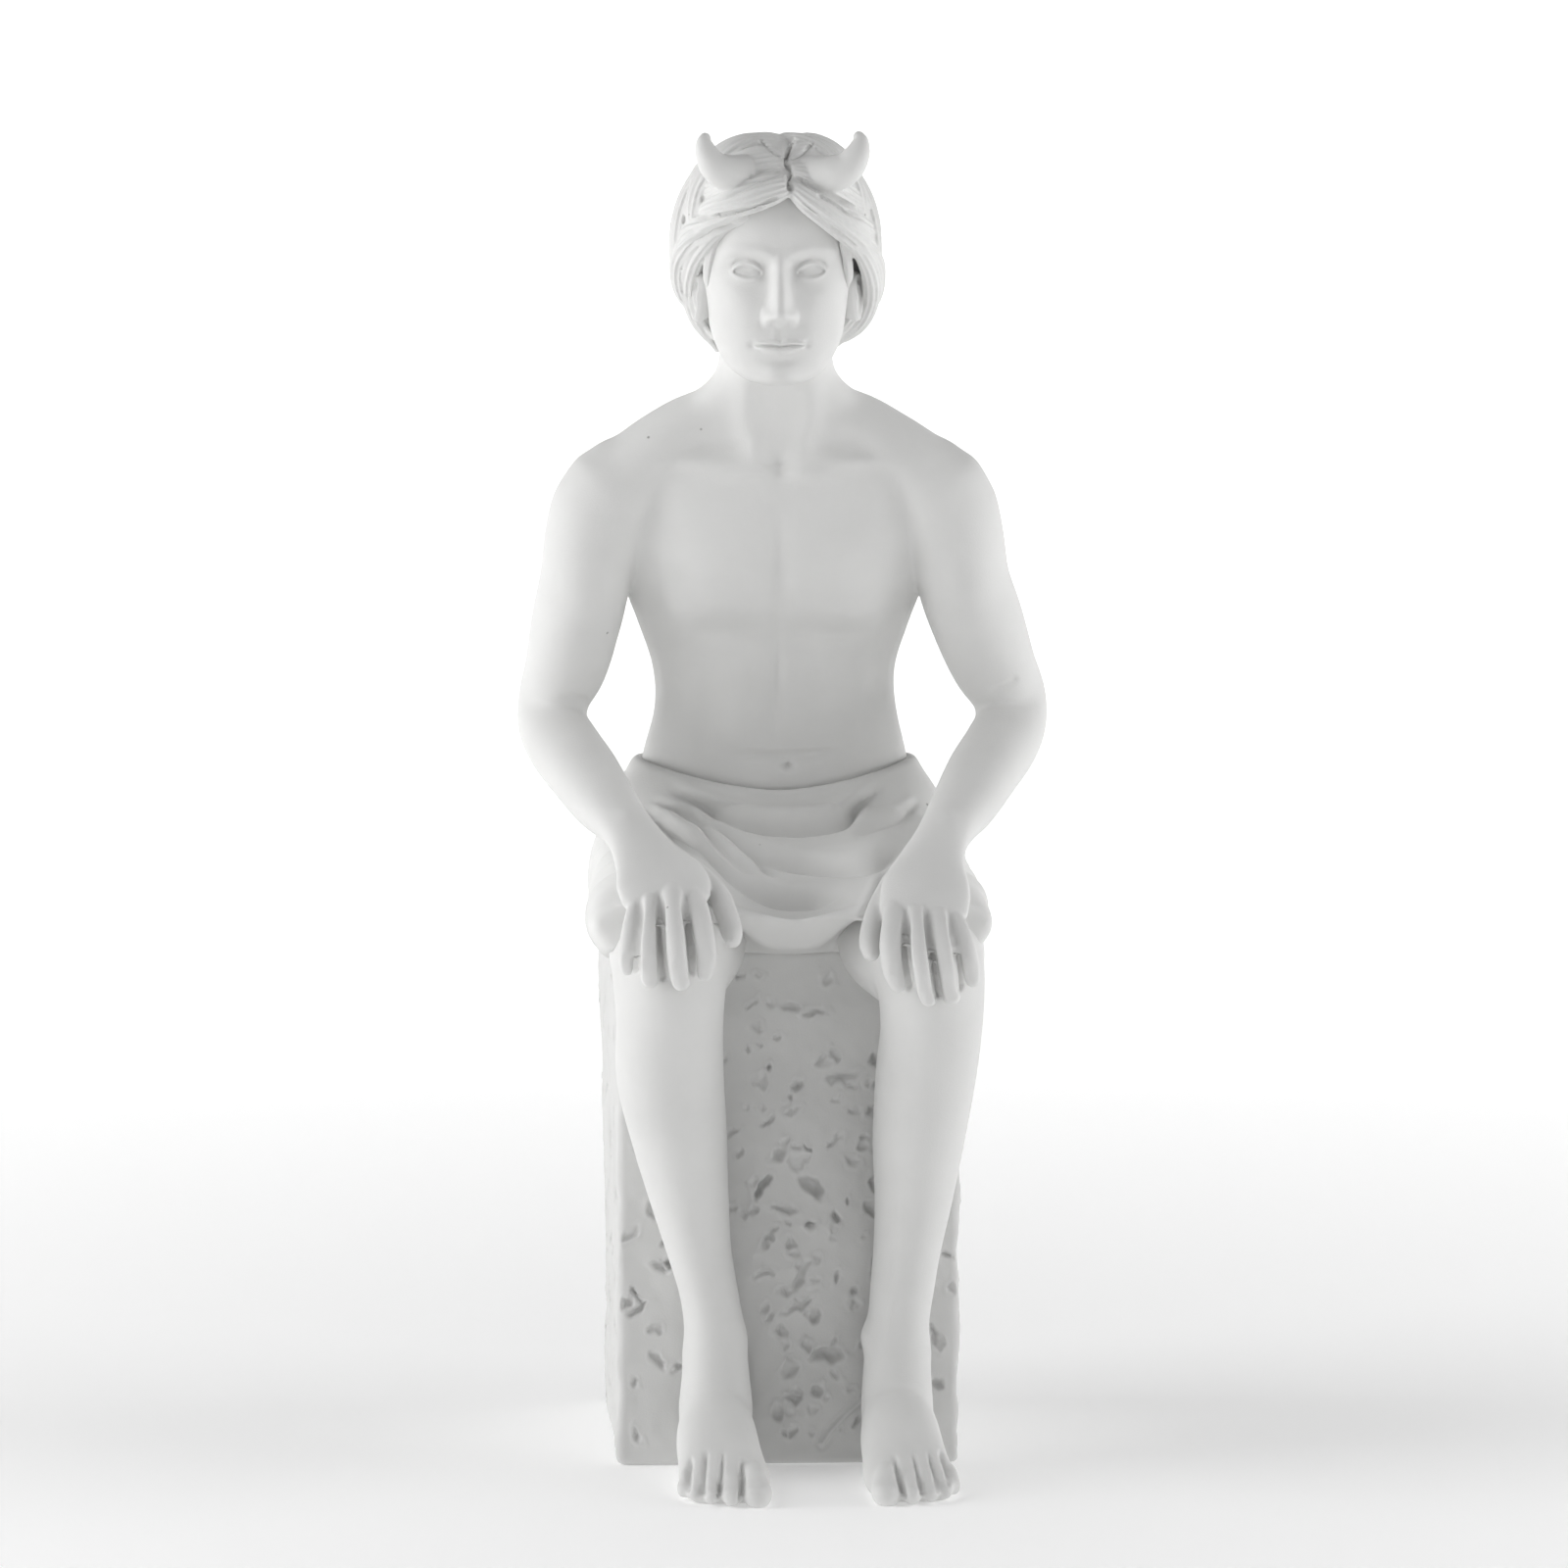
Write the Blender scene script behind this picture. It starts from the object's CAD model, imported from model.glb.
"""Dresses the cast figurine: a seated youth with bull's horns on a rough stone block.

The carving is written in parts, 300 parts to the figure's height; the figure faces -Y.
"""

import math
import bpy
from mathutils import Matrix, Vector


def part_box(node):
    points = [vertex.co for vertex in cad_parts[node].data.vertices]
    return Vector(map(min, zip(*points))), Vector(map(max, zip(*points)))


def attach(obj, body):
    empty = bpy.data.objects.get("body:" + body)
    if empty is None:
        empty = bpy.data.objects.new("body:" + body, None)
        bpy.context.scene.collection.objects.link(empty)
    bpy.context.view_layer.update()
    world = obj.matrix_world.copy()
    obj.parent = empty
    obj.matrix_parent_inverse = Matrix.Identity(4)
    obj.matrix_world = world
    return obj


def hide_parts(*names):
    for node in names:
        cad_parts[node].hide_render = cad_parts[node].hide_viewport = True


bl_info = {
    "name": "Seated horned youth",
    "version": (1, 0, 0),
    "blender": (4, 5, 0),
    "location": "View3D > Sidebar > Figurine",
    "description": "Builds the finished pieces of the cast figurine and its studio stage",
    "category": "Add Mesh",
}

import bpy
import numpy as np
from mathutils import Vector

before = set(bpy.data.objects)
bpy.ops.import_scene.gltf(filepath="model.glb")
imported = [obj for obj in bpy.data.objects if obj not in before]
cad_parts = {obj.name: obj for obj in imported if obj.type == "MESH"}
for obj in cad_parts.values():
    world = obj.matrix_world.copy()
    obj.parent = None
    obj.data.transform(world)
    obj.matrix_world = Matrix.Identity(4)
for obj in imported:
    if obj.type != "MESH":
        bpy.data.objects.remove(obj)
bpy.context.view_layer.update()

NODE = "figurine"
CAST_HEIGHT = round(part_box(NODE)[1][2], 3)
BODY = "root"
# Parts to the whole height, pitch of the hair's skin in parts, and triangles kept of a piece.
CANON = 300.0
HAIR_GRAIN = 0.27
KEPT_TRIANGLES = 190000
KEPT_CLOTH_TRIANGLES = 180000

# Trunk rings: x, y, z, half width, depth in front, depth behind.
TRUNK = (
    (0.0, 18.0, 122, 33.0, 20.0, 22.0), (0.0, 15.0, 140, 32.0, 17.0, 19.0),
    (-0.3, 11.0, 155, 30.6, 15.5, 16.3), (-0.3, 7.0, 167, 27.9, 14.6, 14.8),
    (-0.8, 2.5, 177, 28.0, 14.8, 15.2), (-1.1, -2.0, 187, 31.0, 15.6, 17.2),
    (-1.3, -6.0, 194.5, 33.6, 18.0, 18.2), (-1.5, -10.0, 203, 35.8, 18.6, 19.0),
    (-1.7, -14.0, 212, 37.6, 16.9, 18.5), (-1.8, -17.0, 220, 37.5, 14.0, 16.5),
    (-1.8, -18.5, 227, 34.0, 11.5, 13.5), (-1.8, -19.5, 232.3, 27.5, 9.8, 12.0),
    (-1.8, -21.0, 237, 23.0, 9.3, 11.5), (-1.8, -22.5, 241, 18.4, 9.8, 11.5),
    (-1.8, -24.0, 246, 13.6, 10.3, 11.3), (-1.9, -26.0, 253, 12.6, 10.5, 11.0),
    (-2.0, -28.0, 262, 12.0, 10.0, 10.0),
)

# Limb rows: x, y, z of the middle, then half sizes across and through.
YOKE = (
    (-38.6, -17.8, 218.0, 12.4, 11.6), (-34.5, -18.2, 221.5, 11.6, 9.8),
    (-27.0, -19.0, 228.8, 10.4, 8.2), (-17.0, -20.0, 234.2, 9.2, 7.6),
    (-1.8, -21.0, 235.5, 8.0, 6.4), (13.4, -20.0, 234.4, 9.2, 7.6),
    (23.4, -19.0, 229.0, 10.4, 8.2), (31.5, -18.2, 221.9, 11.6, 9.9),
    (35.6, -17.8, 218.0, 12.4, 11.6),
)
RIGHT_ARM = (
    (-37.0, -18.0, 222.0, 9.0, 10.0), (-40.3, -17.6, 215.5, 11.6, 12.0),
    (-42.8, -16.5, 208.0, 11.2, 12.0), (-44.6, -14.0, 198.0, 10.4, 11.3),
    (-46.6, -10.0, 188.0, 10.2, 10.8), (-48.7, -5.0, 178.0, 9.4, 10.0),
    (-51.3, -1.0, 170.6, 8.2, 9.0), (-51.9, -3.0, 164.6, 8.0, 8.2),
    (-49.2, -12.0, 159.8, 8.4, 8.2), (-45.3, -24.0, 155.0, 8.2, 7.8),
    (-41.0, -37.0, 149.5, 7.4, 6.8), (-37.4, -48.0, 146.0, 6.3, 5.2),
    (-34.8, -55.5, 143.2, 6.3, 4.4), (-32.5, -62.0, 139.8, 7.6, 4.0),
    (-29.6, -69.0, 135.8, 10.3, 3.9), (-28.6, -74.5, 131.8, 10.0, 3.5),
)
LEFT_ARM = (
    (34.0, -18.0, 222.0, 9.0, 10.0), (37.0, -17.6, 215.5, 11.6, 12.0),
    (39.4, -16.5, 208.0, 11.2, 12.0), (41.4, -14.0, 198.0, 10.7, 11.3),
    (45.0, -10.0, 188.0, 10.6, 10.8), (49.0, -5.0, 178.0, 9.7, 10.0),
    (53.0, -1.0, 170.6, 8.4, 9.0), (53.4, -3.0, 164.6, 8.2, 8.2),
    (50.2, -12.0, 159.8, 8.5, 8.2), (45.3, -24.0, 154.8, 8.3, 7.8),
    (40.2, -37.0, 149.0, 7.5, 6.8), (36.0, -48.0, 145.0, 6.4, 5.2),
    (33.3, -55.5, 142.0, 6.3, 4.4), (31.0, -62.0, 138.2, 7.6, 4.0),
    (29.3, -69.0, 133.5, 9.9, 3.9), (28.6, -74.5, 128.6, 9.7, 3.5),
)
RIGHT_LEG = (
    (-20.0, -12.0, 127.5, 15.0, 14.0), (-23.0, -35.0, 124.5, 14.6, 13.0),
    (-25.4, -52.0, 118.6, 15.2, 12.0), (-27.4, -67.0, 114.5, 13.0, 12.4),
    (-27.6, -68.5, 104.0, 11.9, 12.4), (-27.3, -62.5, 91.0, 12.0, 13.2),
    (-25.0, -58.5, 76.0, 10.6, 13.0), (-22.8, -56.0, 63.0, 8.9, 11.8),
    (-20.6, -54.2, 51.0, 7.3, 10.0), (-18.6, -53.2, 42.0, 6.6, 8.8),
    (-17.2, -53.0, 33.0, 6.8, 8.4), (-16.8, -53.0, 24.0, 7.5, 8.8),
    (-16.8, -53.5, 14.0, 8.6, 9.0),
)
LEFT_LEG = (
    (21.5, -12.0, 127.5, 15.0, 14.0), (25.0, -35.0, 124.0, 14.6, 13.0),
    (27.4, -52.0, 118.2, 16.2, 12.0), (30.1, -67.0, 114.0, 12.6, 12.4),
    (30.6, -68.5, 103.0, 11.4, 12.4), (29.7, -62.5, 90.5, 11.2, 13.2),
    (28.3, -58.5, 75.0, 10.2, 13.0), (27.4, -56.0, 62.0, 8.7, 11.8),
    (26.2, -54.2, 51.0, 7.6, 10.0), (25.2, -53.2, 42.0, 7.2, 8.8),
    (24.3, -53.0, 33.0, 7.0, 8.4), (24.0, -53.0, 24.0, 7.6, 8.8),
    (24.0, -53.5, 14.0, 8.4, 9.0),
)
RIGHT_KNEE = (
    (-26.0, -58.0, 120.5, 10.5, 7.4), (-27.2, -67.0, 120.6, 11.4, 8.2),
    (-27.6, -73.0, 117.6, 10.8, 8.4),
)
LEFT_KNEE = (
    (28.0, -58.0, 119.6, 10.5, 7.4), (29.6, -67.0, 119.0, 11.2, 8.2),
    (30.2, -73.0, 115.8, 10.6, 8.4),
)
RIGHT_FOOT = (
    (-16.8, -48.0, 6.0, 6.4, 7.0), (-16.9, -54.0, 8.5, 8.0, 9.7),
    (-17.0, -60.0, 9.3, 8.9, 10.8), (-16.9, -67.0, 7.7, 9.4, 9.4),
    (-16.6, -76.0, 5.6, 9.6, 7.4), (-16.2, -85.0, 3.6, 10.2, 5.8),
    (-15.8, -91.0, 2.6, 9.4, 4.4),
)
LEFT_FOOT = (
    (23.8, -48.0, 6.0, 6.4, 7.0), (23.9, -54.0, 8.5, 7.9, 9.7),
    (24.1, -60.0, 9.3, 8.8, 10.8), (24.2, -67.0, 7.7, 9.3, 9.4),
    (24.4, -76.0, 5.6, 9.6, 7.4), (24.8, -85.0, 3.6, 10.2, 5.8),
    (25.4, -91.0, 2.6, 9.2, 4.4),
)
# Toes, big toe first: x at the root, x at the tip, y of the tip, half width.
RIGHT_TOES = (
    (-10.2, -9.6, -101.0, 3.25), (-14.9, -15.2, -100.0, 2.3), (-18.7, -19.4, -98.0, 2.05),
    (-22.0, -22.9, -95.0, 1.85), (-24.7, -25.4, -91.0, 1.6),
)
LEFT_TOES = (
    (19.6, 18.9, -100.5, 3.25), (24.2, 24.4, -100.0, 2.3), (28.0, 28.6, -98.0, 2.05),
    (31.2, 31.9, -95.0, 1.85), (33.8, 34.2, -90.5, 1.6),
)
# Fingers: x, y, z along each, then its half width; the thumb is last.
RIGHT_FINGERS = (
    (((-33.4, -68, 133.0), (-35.4, -77, 129.6), (-36.7, -82, 125.6), (-37.6, -83.4, 120.5),
      (-37.5, -82.6, 117.3)), 1.8),
    (((-31.0, -68, 134.6), (-32.4, -79, 130.0), (-33.2, -84, 125.3), (-33.3, -85.6, 119.3),
      (-32.6, -85.0, 115.2)), 2.2),
    (((-27.6, -68, 135.4), (-27.3, -80, 130.8), (-27.0, -85, 125.3), (-26.5, -86.4, 119.3),
      (-25.8, -86.0, 114.8)), 2.4),
    (((-23.6, -68, 134.6), (-21.9, -79, 130.0), (-20.9, -84, 125.2), (-20.2, -85.2, 120.4),
      (-20.5, -84.6, 116.6)), 2.2),
    (((-22.5, -60, 137.0), (-17.2, -68, 132.4), (-15.1, -74, 127.8), (-14.2, -77.5, 124.5),
      (-14.1, -78.5, 123.2)), 2.25),
)
LEFT_FINGERS = (
    (((32.8, -68, 130.0), (35.2, -77, 126.6), (36.8, -82, 122.7), (38.0, -83.4, 117.8),
      (38.7, -82.6, 114.4)), 1.95),
    (((30.2, -68, 131.4), (31.8, -79, 126.3), (32.3, -84.4, 122.1), (33.1, -86.2, 116.8),
      (33.8, -85.6, 111.2)), 2.35),
    (((26.4, -68, 132.0), (26.5, -80, 126.4), (26.5, -85.4, 121.5), (27.3, -87.0, 116.4),
      (28.7, -86.4, 110.9)), 2.3),
    (((22.8, -68, 131.6), (21.4, -79, 126.6), (20.5, -84, 122.2), (20.9, -85.2, 117.3),
      (22.0, -84.6, 113.8)), 2.25),
    (((22.5, -60, 133.6), (19.0, -68, 129.0), (17.0, -74, 124.8), (16.3, -77.5, 121.9),
      (16.5, -78.5, 120.0)), 2.25),
)
NAILS = (
    ((-37.4, -84.4, 119.2), 1.2), ((-32.8, -87.4, 117.4), 1.5), ((-26.0, -88.4, 117.2), 1.6),
    ((-20.3, -86.8, 118.8), 1.5), ((38.4, -84.4, 116.4), 1.3), ((33.6, -87.8, 113.6), 1.6),
    ((28.2, -88.4, 113.2), 1.6), ((21.7, -86.8, 116.0), 1.5),
)

# Carving of the skin: x, y, z, three reaches, and the push outwards. A pair is mirrored.
PAIRED_MARKS = (
    ((14.0, -28, 200.0), (12.0, 10, 10.0), 1.9),
    ((17.5, -22, 191.5), (10.5, 8, 4.6), 1.7),
    ((15.0, -16, 184.0), (12.5, 9, 3.6), -1.6),
    ((7.0, -32, 222.8), (7.0, 6, 1.9), 1.3),
    ((17.0, -30, 225.6), (8.0, 6, 1.9), 1.1),
    ((12.0, -32, 229.6), (7.0, 6, 3.0), -1.3),
    ((26.5, -30, 215.0), (3.6, 6, 6.0), -0.9),
    ((7.5, -12, 177.5), (5.2, 8, 5.4), 0.9),
    ((7.0, -8, 166.5), (5.0, 8, 4.6), 0.8),
    ((15.4, -9, 168.0), (4.0, 8, 11.0), -0.7),
    ((14.0, 10, 205.0), (9.0, 8, 11.0), 2.0),
    ((6.5, 9, 205.0), (3.0, 6, 10.0), -0.7),
    ((8.0, 18, 175.0), (5.0, 8, 16.0), 1.3),
    ((7.4, -30, 238.0), (2.8, 8, 8.0), 1.1),
    ((5.4, -30, 229.6), (2.4, 8, 5.0), 0.9),
)
SINGLE_MARKS = (
    ((-1.5, -30, 202.0), (3.0, 8, 12.0), -1.2),
    ((-1.0, -14, 176.0), (1.5, 9, 12.0), -0.8),
    ((-1.6, -34, 225.4), (2.6, 6, 3.0), -2.2),
    ((-1.8, -34, 234.0), (4.0, 6, 5.0), 0.5),
    ((-0.8, 20, 190.0), (2.2, 12, 34.0), -1.3),
    ((0.0, -4, 151.0), (14.0, 9, 4.6), 1.4),
    ((-44.0, -26, 196.0), (6.0, 6, 13.0), 0.8),
    ((41.5, -26, 196.0), (6.0, 6, 13.0), 0.8),
    ((-46.0, 2, 198.0), (6.0, 7, 13.0), 0.7),
    ((43.5, 2, 198.0), (6.0, 7, 13.0), 0.7),
    ((-36.5, -54, 148.6), (2.0, 3, 2.0), 0.6),
    ((35.2, -54, 147.4), (2.0, 3, 2.0), 0.6),
    ((-11.0, -54, 30.5), (2.8, 3.4, 3.8), 0.6),
    ((-22.6, -52.5, 27.0), (2.6, 3.4, 3.8), 0.4),
    ((18.2, -54, 30.5), (2.8, 3.4, 3.6), 1.6),
    ((30.4, -52.5, 27.0), (2.6, 3.4, 3.8), 0.5),
    ((-12.5, -45.5, 22.0), (3.0, 3.0, 9.0), -0.8),
    ((20.0, -45.5, 22.0), (3.0, 3.0, 9.0), -0.8),
    ((-28.0, -80.5, 111.0), (6.0, 4, 6.0), 0.6),
    ((30.5, -80.5, 110.0), (6.0, 4, 6.0), 0.6),
)
# Creases of the skin: x, z points seen from the front, depth, half width and farthest y.
SKIN_CREASES = (
    (((-33.0, 200.0), (-29.5, 191.5), (-26.8, 183.0), (-24.6, 173.0), (-21.0, 164.0)),
     1.7, 3.6, 10),
    (((31.0, 200.0), (27.6, 191.5), (25.0, 183.0), (23.4, 173.0), (20.0, 165.0)), 1.6, 3.6, 10),
    (((-11.0, 157.4), (-5.0, 156.9), (2.0, 156.9), (9.0, 157.2), (16.0, 158.4)), 1.0, 1.1, 0),
    (((-51.0, 171.6), (-46.5, 171.0), (-43.4, 169.6)), 0.5, 0.9, 0),
    (((47.0, 172.4), (51.5, 173.6), (54.4, 175.6)), 0.5, 0.9, 0),
)

# Gaps between toes and between fingers: x, z points, depth, half width and nearest y.
DIGIT_GAPS = (
    (((-12.2, 9.0), (-12.7, 6.8), (-13.3, 2.2)), 1.2, 0.5, -82),
    (((-16.4, 10.6), (-17.3, 6.6), (-18.1, 2.6)), 1.2, 0.45, -82),
    (((-20.0, 10.6), (-21.0, 6.6), (-21.7, 2.6)), 1.1, 0.45, -82),
    (((-23.4, 9.0), (-24.2, 6.0), (-24.8, 3.0)), 1.0, 0.45, -80),
    (((21.0, 9.6), (21.8, 6.0), (22.5, 2.2)), 1.2, 0.5, -82),
    (((25.2, 10.2), (26.1, 6.0), (26.8, 2.6)), 1.2, 0.45, -82),
    (((28.7, 10.0), (29.7, 6.6), (30.5, 3.0)), 1.1, 0.45, -82),
    (((31.4, 9.6), (32.4, 7.0), (33.2, 4.0)), 1.0, 0.45, -78),
    (((-34.0, 133.5), (-35.0, 128.0), (-35.7, 122.0), (-35.5, 116.5)), 1.7, 0.6, -72),
    (((-30.0, 134.5), (-30.2, 128.5), (-30.1, 122.0), (-29.4, 115.0)), 1.7, 0.6, -72),
    (((-25.4, 134.0), (-24.4, 128.5), (-23.7, 122.0), (-23.2, 116.0)), 1.7, 0.6, -72),
    (((33.4, 130.5), (34.4, 124.0), (35.1, 119.0), (36.0, 112.5)), 1.7, 0.6, -72),
    (((28.4, 131.5), (28.9, 125.0), (29.6, 119.0), (30.9, 111.0)), 1.7, 0.6, -72),
    (((24.6, 130.5), (23.8, 124.5), (23.9, 119.0), (25.0, 112.5)), 1.7, 0.6, -72),
)

# The head's level rings: x, y, z, half width, depth in front, depth behind.
HEAD_X = -2.0
HEAD = (
    (HEAD_X, -39.4, 243.6, 3.2, 4.2, 4.5), (HEAD_X, -38.6, 244.7, 7.0, 6.4, 9.0),
    (HEAD_X, -37.0, 247.0, 10.4, 8.6, 12.0), (HEAD_X, -35.6, 250.5, 12.9, 10.7, 14.5),
    (HEAD_X, -34.0, 255.0, 14.7, 12.6, 17.5), (HEAD_X, -32.4, 260.0, 15.6, 14.2, 20.0),
    (HEAD_X, -31.0, 265.5, 16.5, 15.5, 22.0), (HEAD_X, -30.0, 271.0, 17.0, 16.8, 23.0),
    (HEAD_X, -29.6, 277.0, 17.3, 17.6, 23.5), (HEAD_X, -29.2, 283.0, 17.0, 17.4, 22.5),
    (HEAD_X, -28.7, 289.0, 14.6, 14.8, 19.0), (HEAD_X, -28.2, 293.5, 9.6, 10.0, 13.0),
    (HEAD_X, -28.0, 295.6, 4.5, 5.0, 6.0),
)
NOSE_HEIGHT = (
    (256.4, 0.0), (257.0, 0.3), (257.6, 1.5), (258.2, 3.3), (259.0, 4.6), (260.0, 5.0),
    (261.2, 4.6), (263.5, 3.6), (266.0, 2.7), (268.5, 1.9), (270.5, 1.3), (272.5, 0.6),
    (274.5, 0.0),
)
NOSE_HALF_WIDTH = (
    (256.0, 2.0), (258.5, 2.2), (260.0, 2.2), (262.0, 2.0), (266.0, 1.75), (270.0, 1.8),
    (274.0, 2.4),
)
# Mounds and hollows of the face: places across and up, two reaches, power, and push outwards.
FACE_MOUNDS = (
    # Wings of the nose, nostrils, and the hollows beside them.
    ((2.7, 259.1), (1.35, 1.5), 2.0, 1.5), ((1.5, 257.6), (0.8, 0.55), 2.0, -0.9),
    ((4.2, 258.6), (0.6, 1.6), 2.0, -0.25),
    # Sockets, inner corners and eyeballs.
    ((6.7, 269.7), (5.0, 3.3), 2.6, -2.4), ((3.2, 269.6), (1.5, 2.2), 2.0, -0.8),
    ((7.1, 269.1), (3.9, 2.7), 3.0, 1.75),
    # The mouth's swell, the groove over the lips and its ridges, the corners, and the chin.
    ((0.0, 252.6), (6.4, 4.8), 2.0, 1.1), ((0.0, 255.6), (0.8, 1.6), 2.0, -0.28),
    ((1.4, 255.4), (0.6, 1.6), 2.0, 0.14), ((6.1, 252.8), (0.9, 0.8), 2.0, -0.45),
    ((0.0, 249.2), (3.6, 1.0), 2.0, -0.75), ((0.0, 246.2), (4.3, 2.7), 2.4, 1.4),
    # Cheekbones, cheeks, temples and forehead.
    ((10.2, 263.6), (4.4, 3.6), 2.0, 0.9), ((7.4, 257.6), (3.6, 4.4), 2.0, 0.5),
    ((14.4, 275.5), (2.6, 5.5), 2.0, -0.5), ((4.6, 279.0), (5.0, 3.6), 2.0, 0.35),
)
BROW_HEIGHT = 272.6
EYE_LINE = 268.6
MOUTH_LINE = 252.6
MOUTH_HALF_WIDTH = 5.9
# Ears: place beside the head's middle, half height, half width, and tilt back in degrees.
EAR_PLACE = (16.6, -32.0, 263.6)
EAR_HALF_HEIGHT = 5.9
EAR_HALF_WIDTH = 3.1
EAR_TILT = -12

# Hair: an egg of half sizes about a middle, and the locks that lie on it.
HAIR_MIDDLE = np.array((-1.9, -26.0, 273.0))
HAIR_SIZE = np.array((20.4, 25.0, 25.0))
# The hair's cap in level rings: x, y, z, half width, depth in front, depth behind.
HAIR_CAP = (
    (-1.9, -20.0, 247.5, 8.0, 3.0, 9.0), (-1.9, -21.0, 252.0, 14.4, 4.0, 16.0),
    (-1.9, -22.0, 258.0, 17.8, 4.5, 20.0), (-1.9, -23.0, 264.0, 19.4, 5.5, 22.0),
    (-1.9, -23.5, 269.0, 20.0, 9.5, 22.5), (-1.9, -24.0, 274.0, 20.0, 17.0, 23.0),
    (-1.9, -24.0, 280.0, 19.6, 19.6, 23.0), (-1.7, -24.0, 285.0, 18.8, 21.0, 22.0),
    (-1.4, -24.4, 290.0, 16.6, 20.6, 19.6), (-1.0, -25.0, 294.4, 12.4, 16.4, 15.0),
    (-0.4, -25.4, 297.4, 6.0, 9.0, 8.0), (-0.4, -25.4, 298.2, 2.0, 3.0, 3.0),
)
# Locks of the front: x, z points seen from the front, or x, y, z points round the ears, then
# half width, thickness and lift.
FRONT_LOCKS = (
    (((0.1, 288.6), (-4.4, 287.4), (-9.8, 285.6), (-15.6, 283.6), (-21.0, 281.4)), 4.2, 2.7, 0.9),
    (((0.2, 293.6), (-5.0, 293.2), (-10.4, 291.4), (-15.6, 288.4), (-20.0, 285.2)), 5.4, 2.8, 0.2),
    (((0.8, 297.2), (-5.0, 297.4), (-11.0, 295.4), (-16.0, 291.8), (-19.2, 287.8)), 4.2, 2.4, -0.6),
    (((-11.6, 282.2), (-17.4, 280.0), (-21.4, 277.8), (-23.2, 274.8)), 2.5, 2.1, 0.5),
    (((-9.6, -45.0, 281.3), (-16.0, -41.6, 279.1), (-20.8, -36.5, 276.2), (-23.2, -30.5, 272.2),
      (-23.5, -27.0, 267.0), (-22.2, -26.0, 262.2), (-19.6, -25.0, 258.2)), 2.9, 2.3, 0.0),
    (((-13.6, -43.0, 279.6), (-17.8, -39.0, 275.8), (-20.4, -33.6, 271.4), (-21.2, -28.4, 266.0),
      (-20.4, -25.4, 260.2), (-18.0, -24.4, 255.0), (-15.0, -24.0, 250.6)), 2.7, 2.1, 0.0),
    (((-14.2, -41.6, 279.0), (-16.4, -39.4, 275.0), (-17.4, -37.4, 270.6), (-17.6, -36.2, 266.8),
      (-17.3, -35.6, 264.6)), 1.4, 1.1, 0.0),
    (((0.9, 287.8), (4.4, 285.0), (9.2, 281.6), (14.2, 277.6), (18.4, 273.6), (20.4, 270.0)),
     3.5, 2.7, 0.9),
    (((0.7, 291.2), (5.0, 289.8), (10.0, 287.2), (15.0, 284.2), (18.0, 281.8)), 4.4, 2.8, 0.5),
    (((5.6, 285.4), (10.6, 282.2), (15.4, 279.4), (19.0, 276.6), (20.6, 273.2)), 2.6, 2.3, 0.6),
    (((1.2, 295.6), (5.8, 295.4), (10.8, 293.2), (14.8, 289.8), (17.4, 286.0)), 4.6, 2.6, 0.0),
    (((1.8, 297.8), (6.0, 297.4), (10.4, 295.4), (14.4, 292.0), (16.8, 288.4)), 3.2, 2.2, -0.5),
    (((13.2, -43.0, 277.2), (16.8, -39.0, 273.0), (19.0, -33.4, 268.4), (19.5, -28.4, 263.4),
      (18.0, -25.6, 258.2), (15.0, -24.6, 254.4), (11.4, -24.0, 251.4)), 2.7, 2.1, 0.0),
    (((16.4, -40.0, 274.8), (19.6, -33.6, 271.6), (20.6, -28.6, 267.2), (20.0, -26.4, 262.4),
      (17.4, -25.4, 258.0)), 2.7, 2.1, 0.0),
    (((12.0, -41.4, 276.0), (13.4, -39.4, 272.0), (13.9, -37.4, 268.0), (13.8, -36.2, 265.2)),
     1.3, 1.1, 0.0),
)
# Rows of locks round the sides and back: first and last azimuth from the front, how many,
# height angle at the root and tip, half width, thickness, lift, and sideways wave.
LOCK_ROWS = (
    (100, 176, 7, 40, -66, 3.5, 2.1, -0.6, 7), (96, 171, 7, 58, -48, 3.6, 2.2, 0.0, -7),
    (88, 165, 7, 74, -28, 3.8, 2.2, 0.3, 6), (70, 176, 8, 84, 4, 4.0, 2.2, 0.2, -5),
)
# Deeper grooves of the front hair: x, z points seen from the front, depth, half width.
HAIR_GROOVES = (
    (((0.2, 286.6), (0.2, 290.0), (-0.1, 294.5), (0.9, 297.3), (2.5, 298.8)), 2.0, 0.55),
    (((-2.0, 286.2), (-7.0, 283.6), (-13.0, 282.0), (-18.5, 280.9), (-24.0, 278.9)), 1.2, 0.4),
    (((-1.0, 291.0), (-6.0, 289.4), (-12.0, 286.6), (-20.0, 282.6)), 0.7, 0.35),
    (((-11.0, 279.9), (-16.0, 278.2), (-20.5, 275.8), (-24.0, 272.0)), 1.0, 0.4),
    (((1.2, 290.4), (6.0, 287.6), (11.6, 284.8), (17.6, 282.6)), 1.2, 0.4),
    (((6.0, 286.6), (9.4, 284.7), (13.0, 282.4), (17.6, 280.3)), 1.3, 0.4),
    (((2.4, 285.0), (7.2, 281.0), (12.6, 276.6), (19.6, 271.4)), 0.8, 0.35),
    (((0.6, 294.0), (4.0, 295.6), (7.0, 298.4)), 0.9, 0.35),
    (((-0.4, 294.0), (-3.6, 296.0), (-6.4, 298.6)), 0.9, 0.35),
)
RIGHT_HORN = (
    (-9.0, -40.0, 290.4, 5.0, 4.6), (-13.2, -44.0, 290.9, 4.5, 4.2),
    (-16.4, -45.6, 292.5, 3.7, 3.5), (-18.2, -45.8, 295.2, 2.7, 2.7),
    (-18.8, -45.2, 297.6, 1.9, 1.9), (-18.6, -44.8, 298.6, 1.4, 1.4),
)
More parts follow.
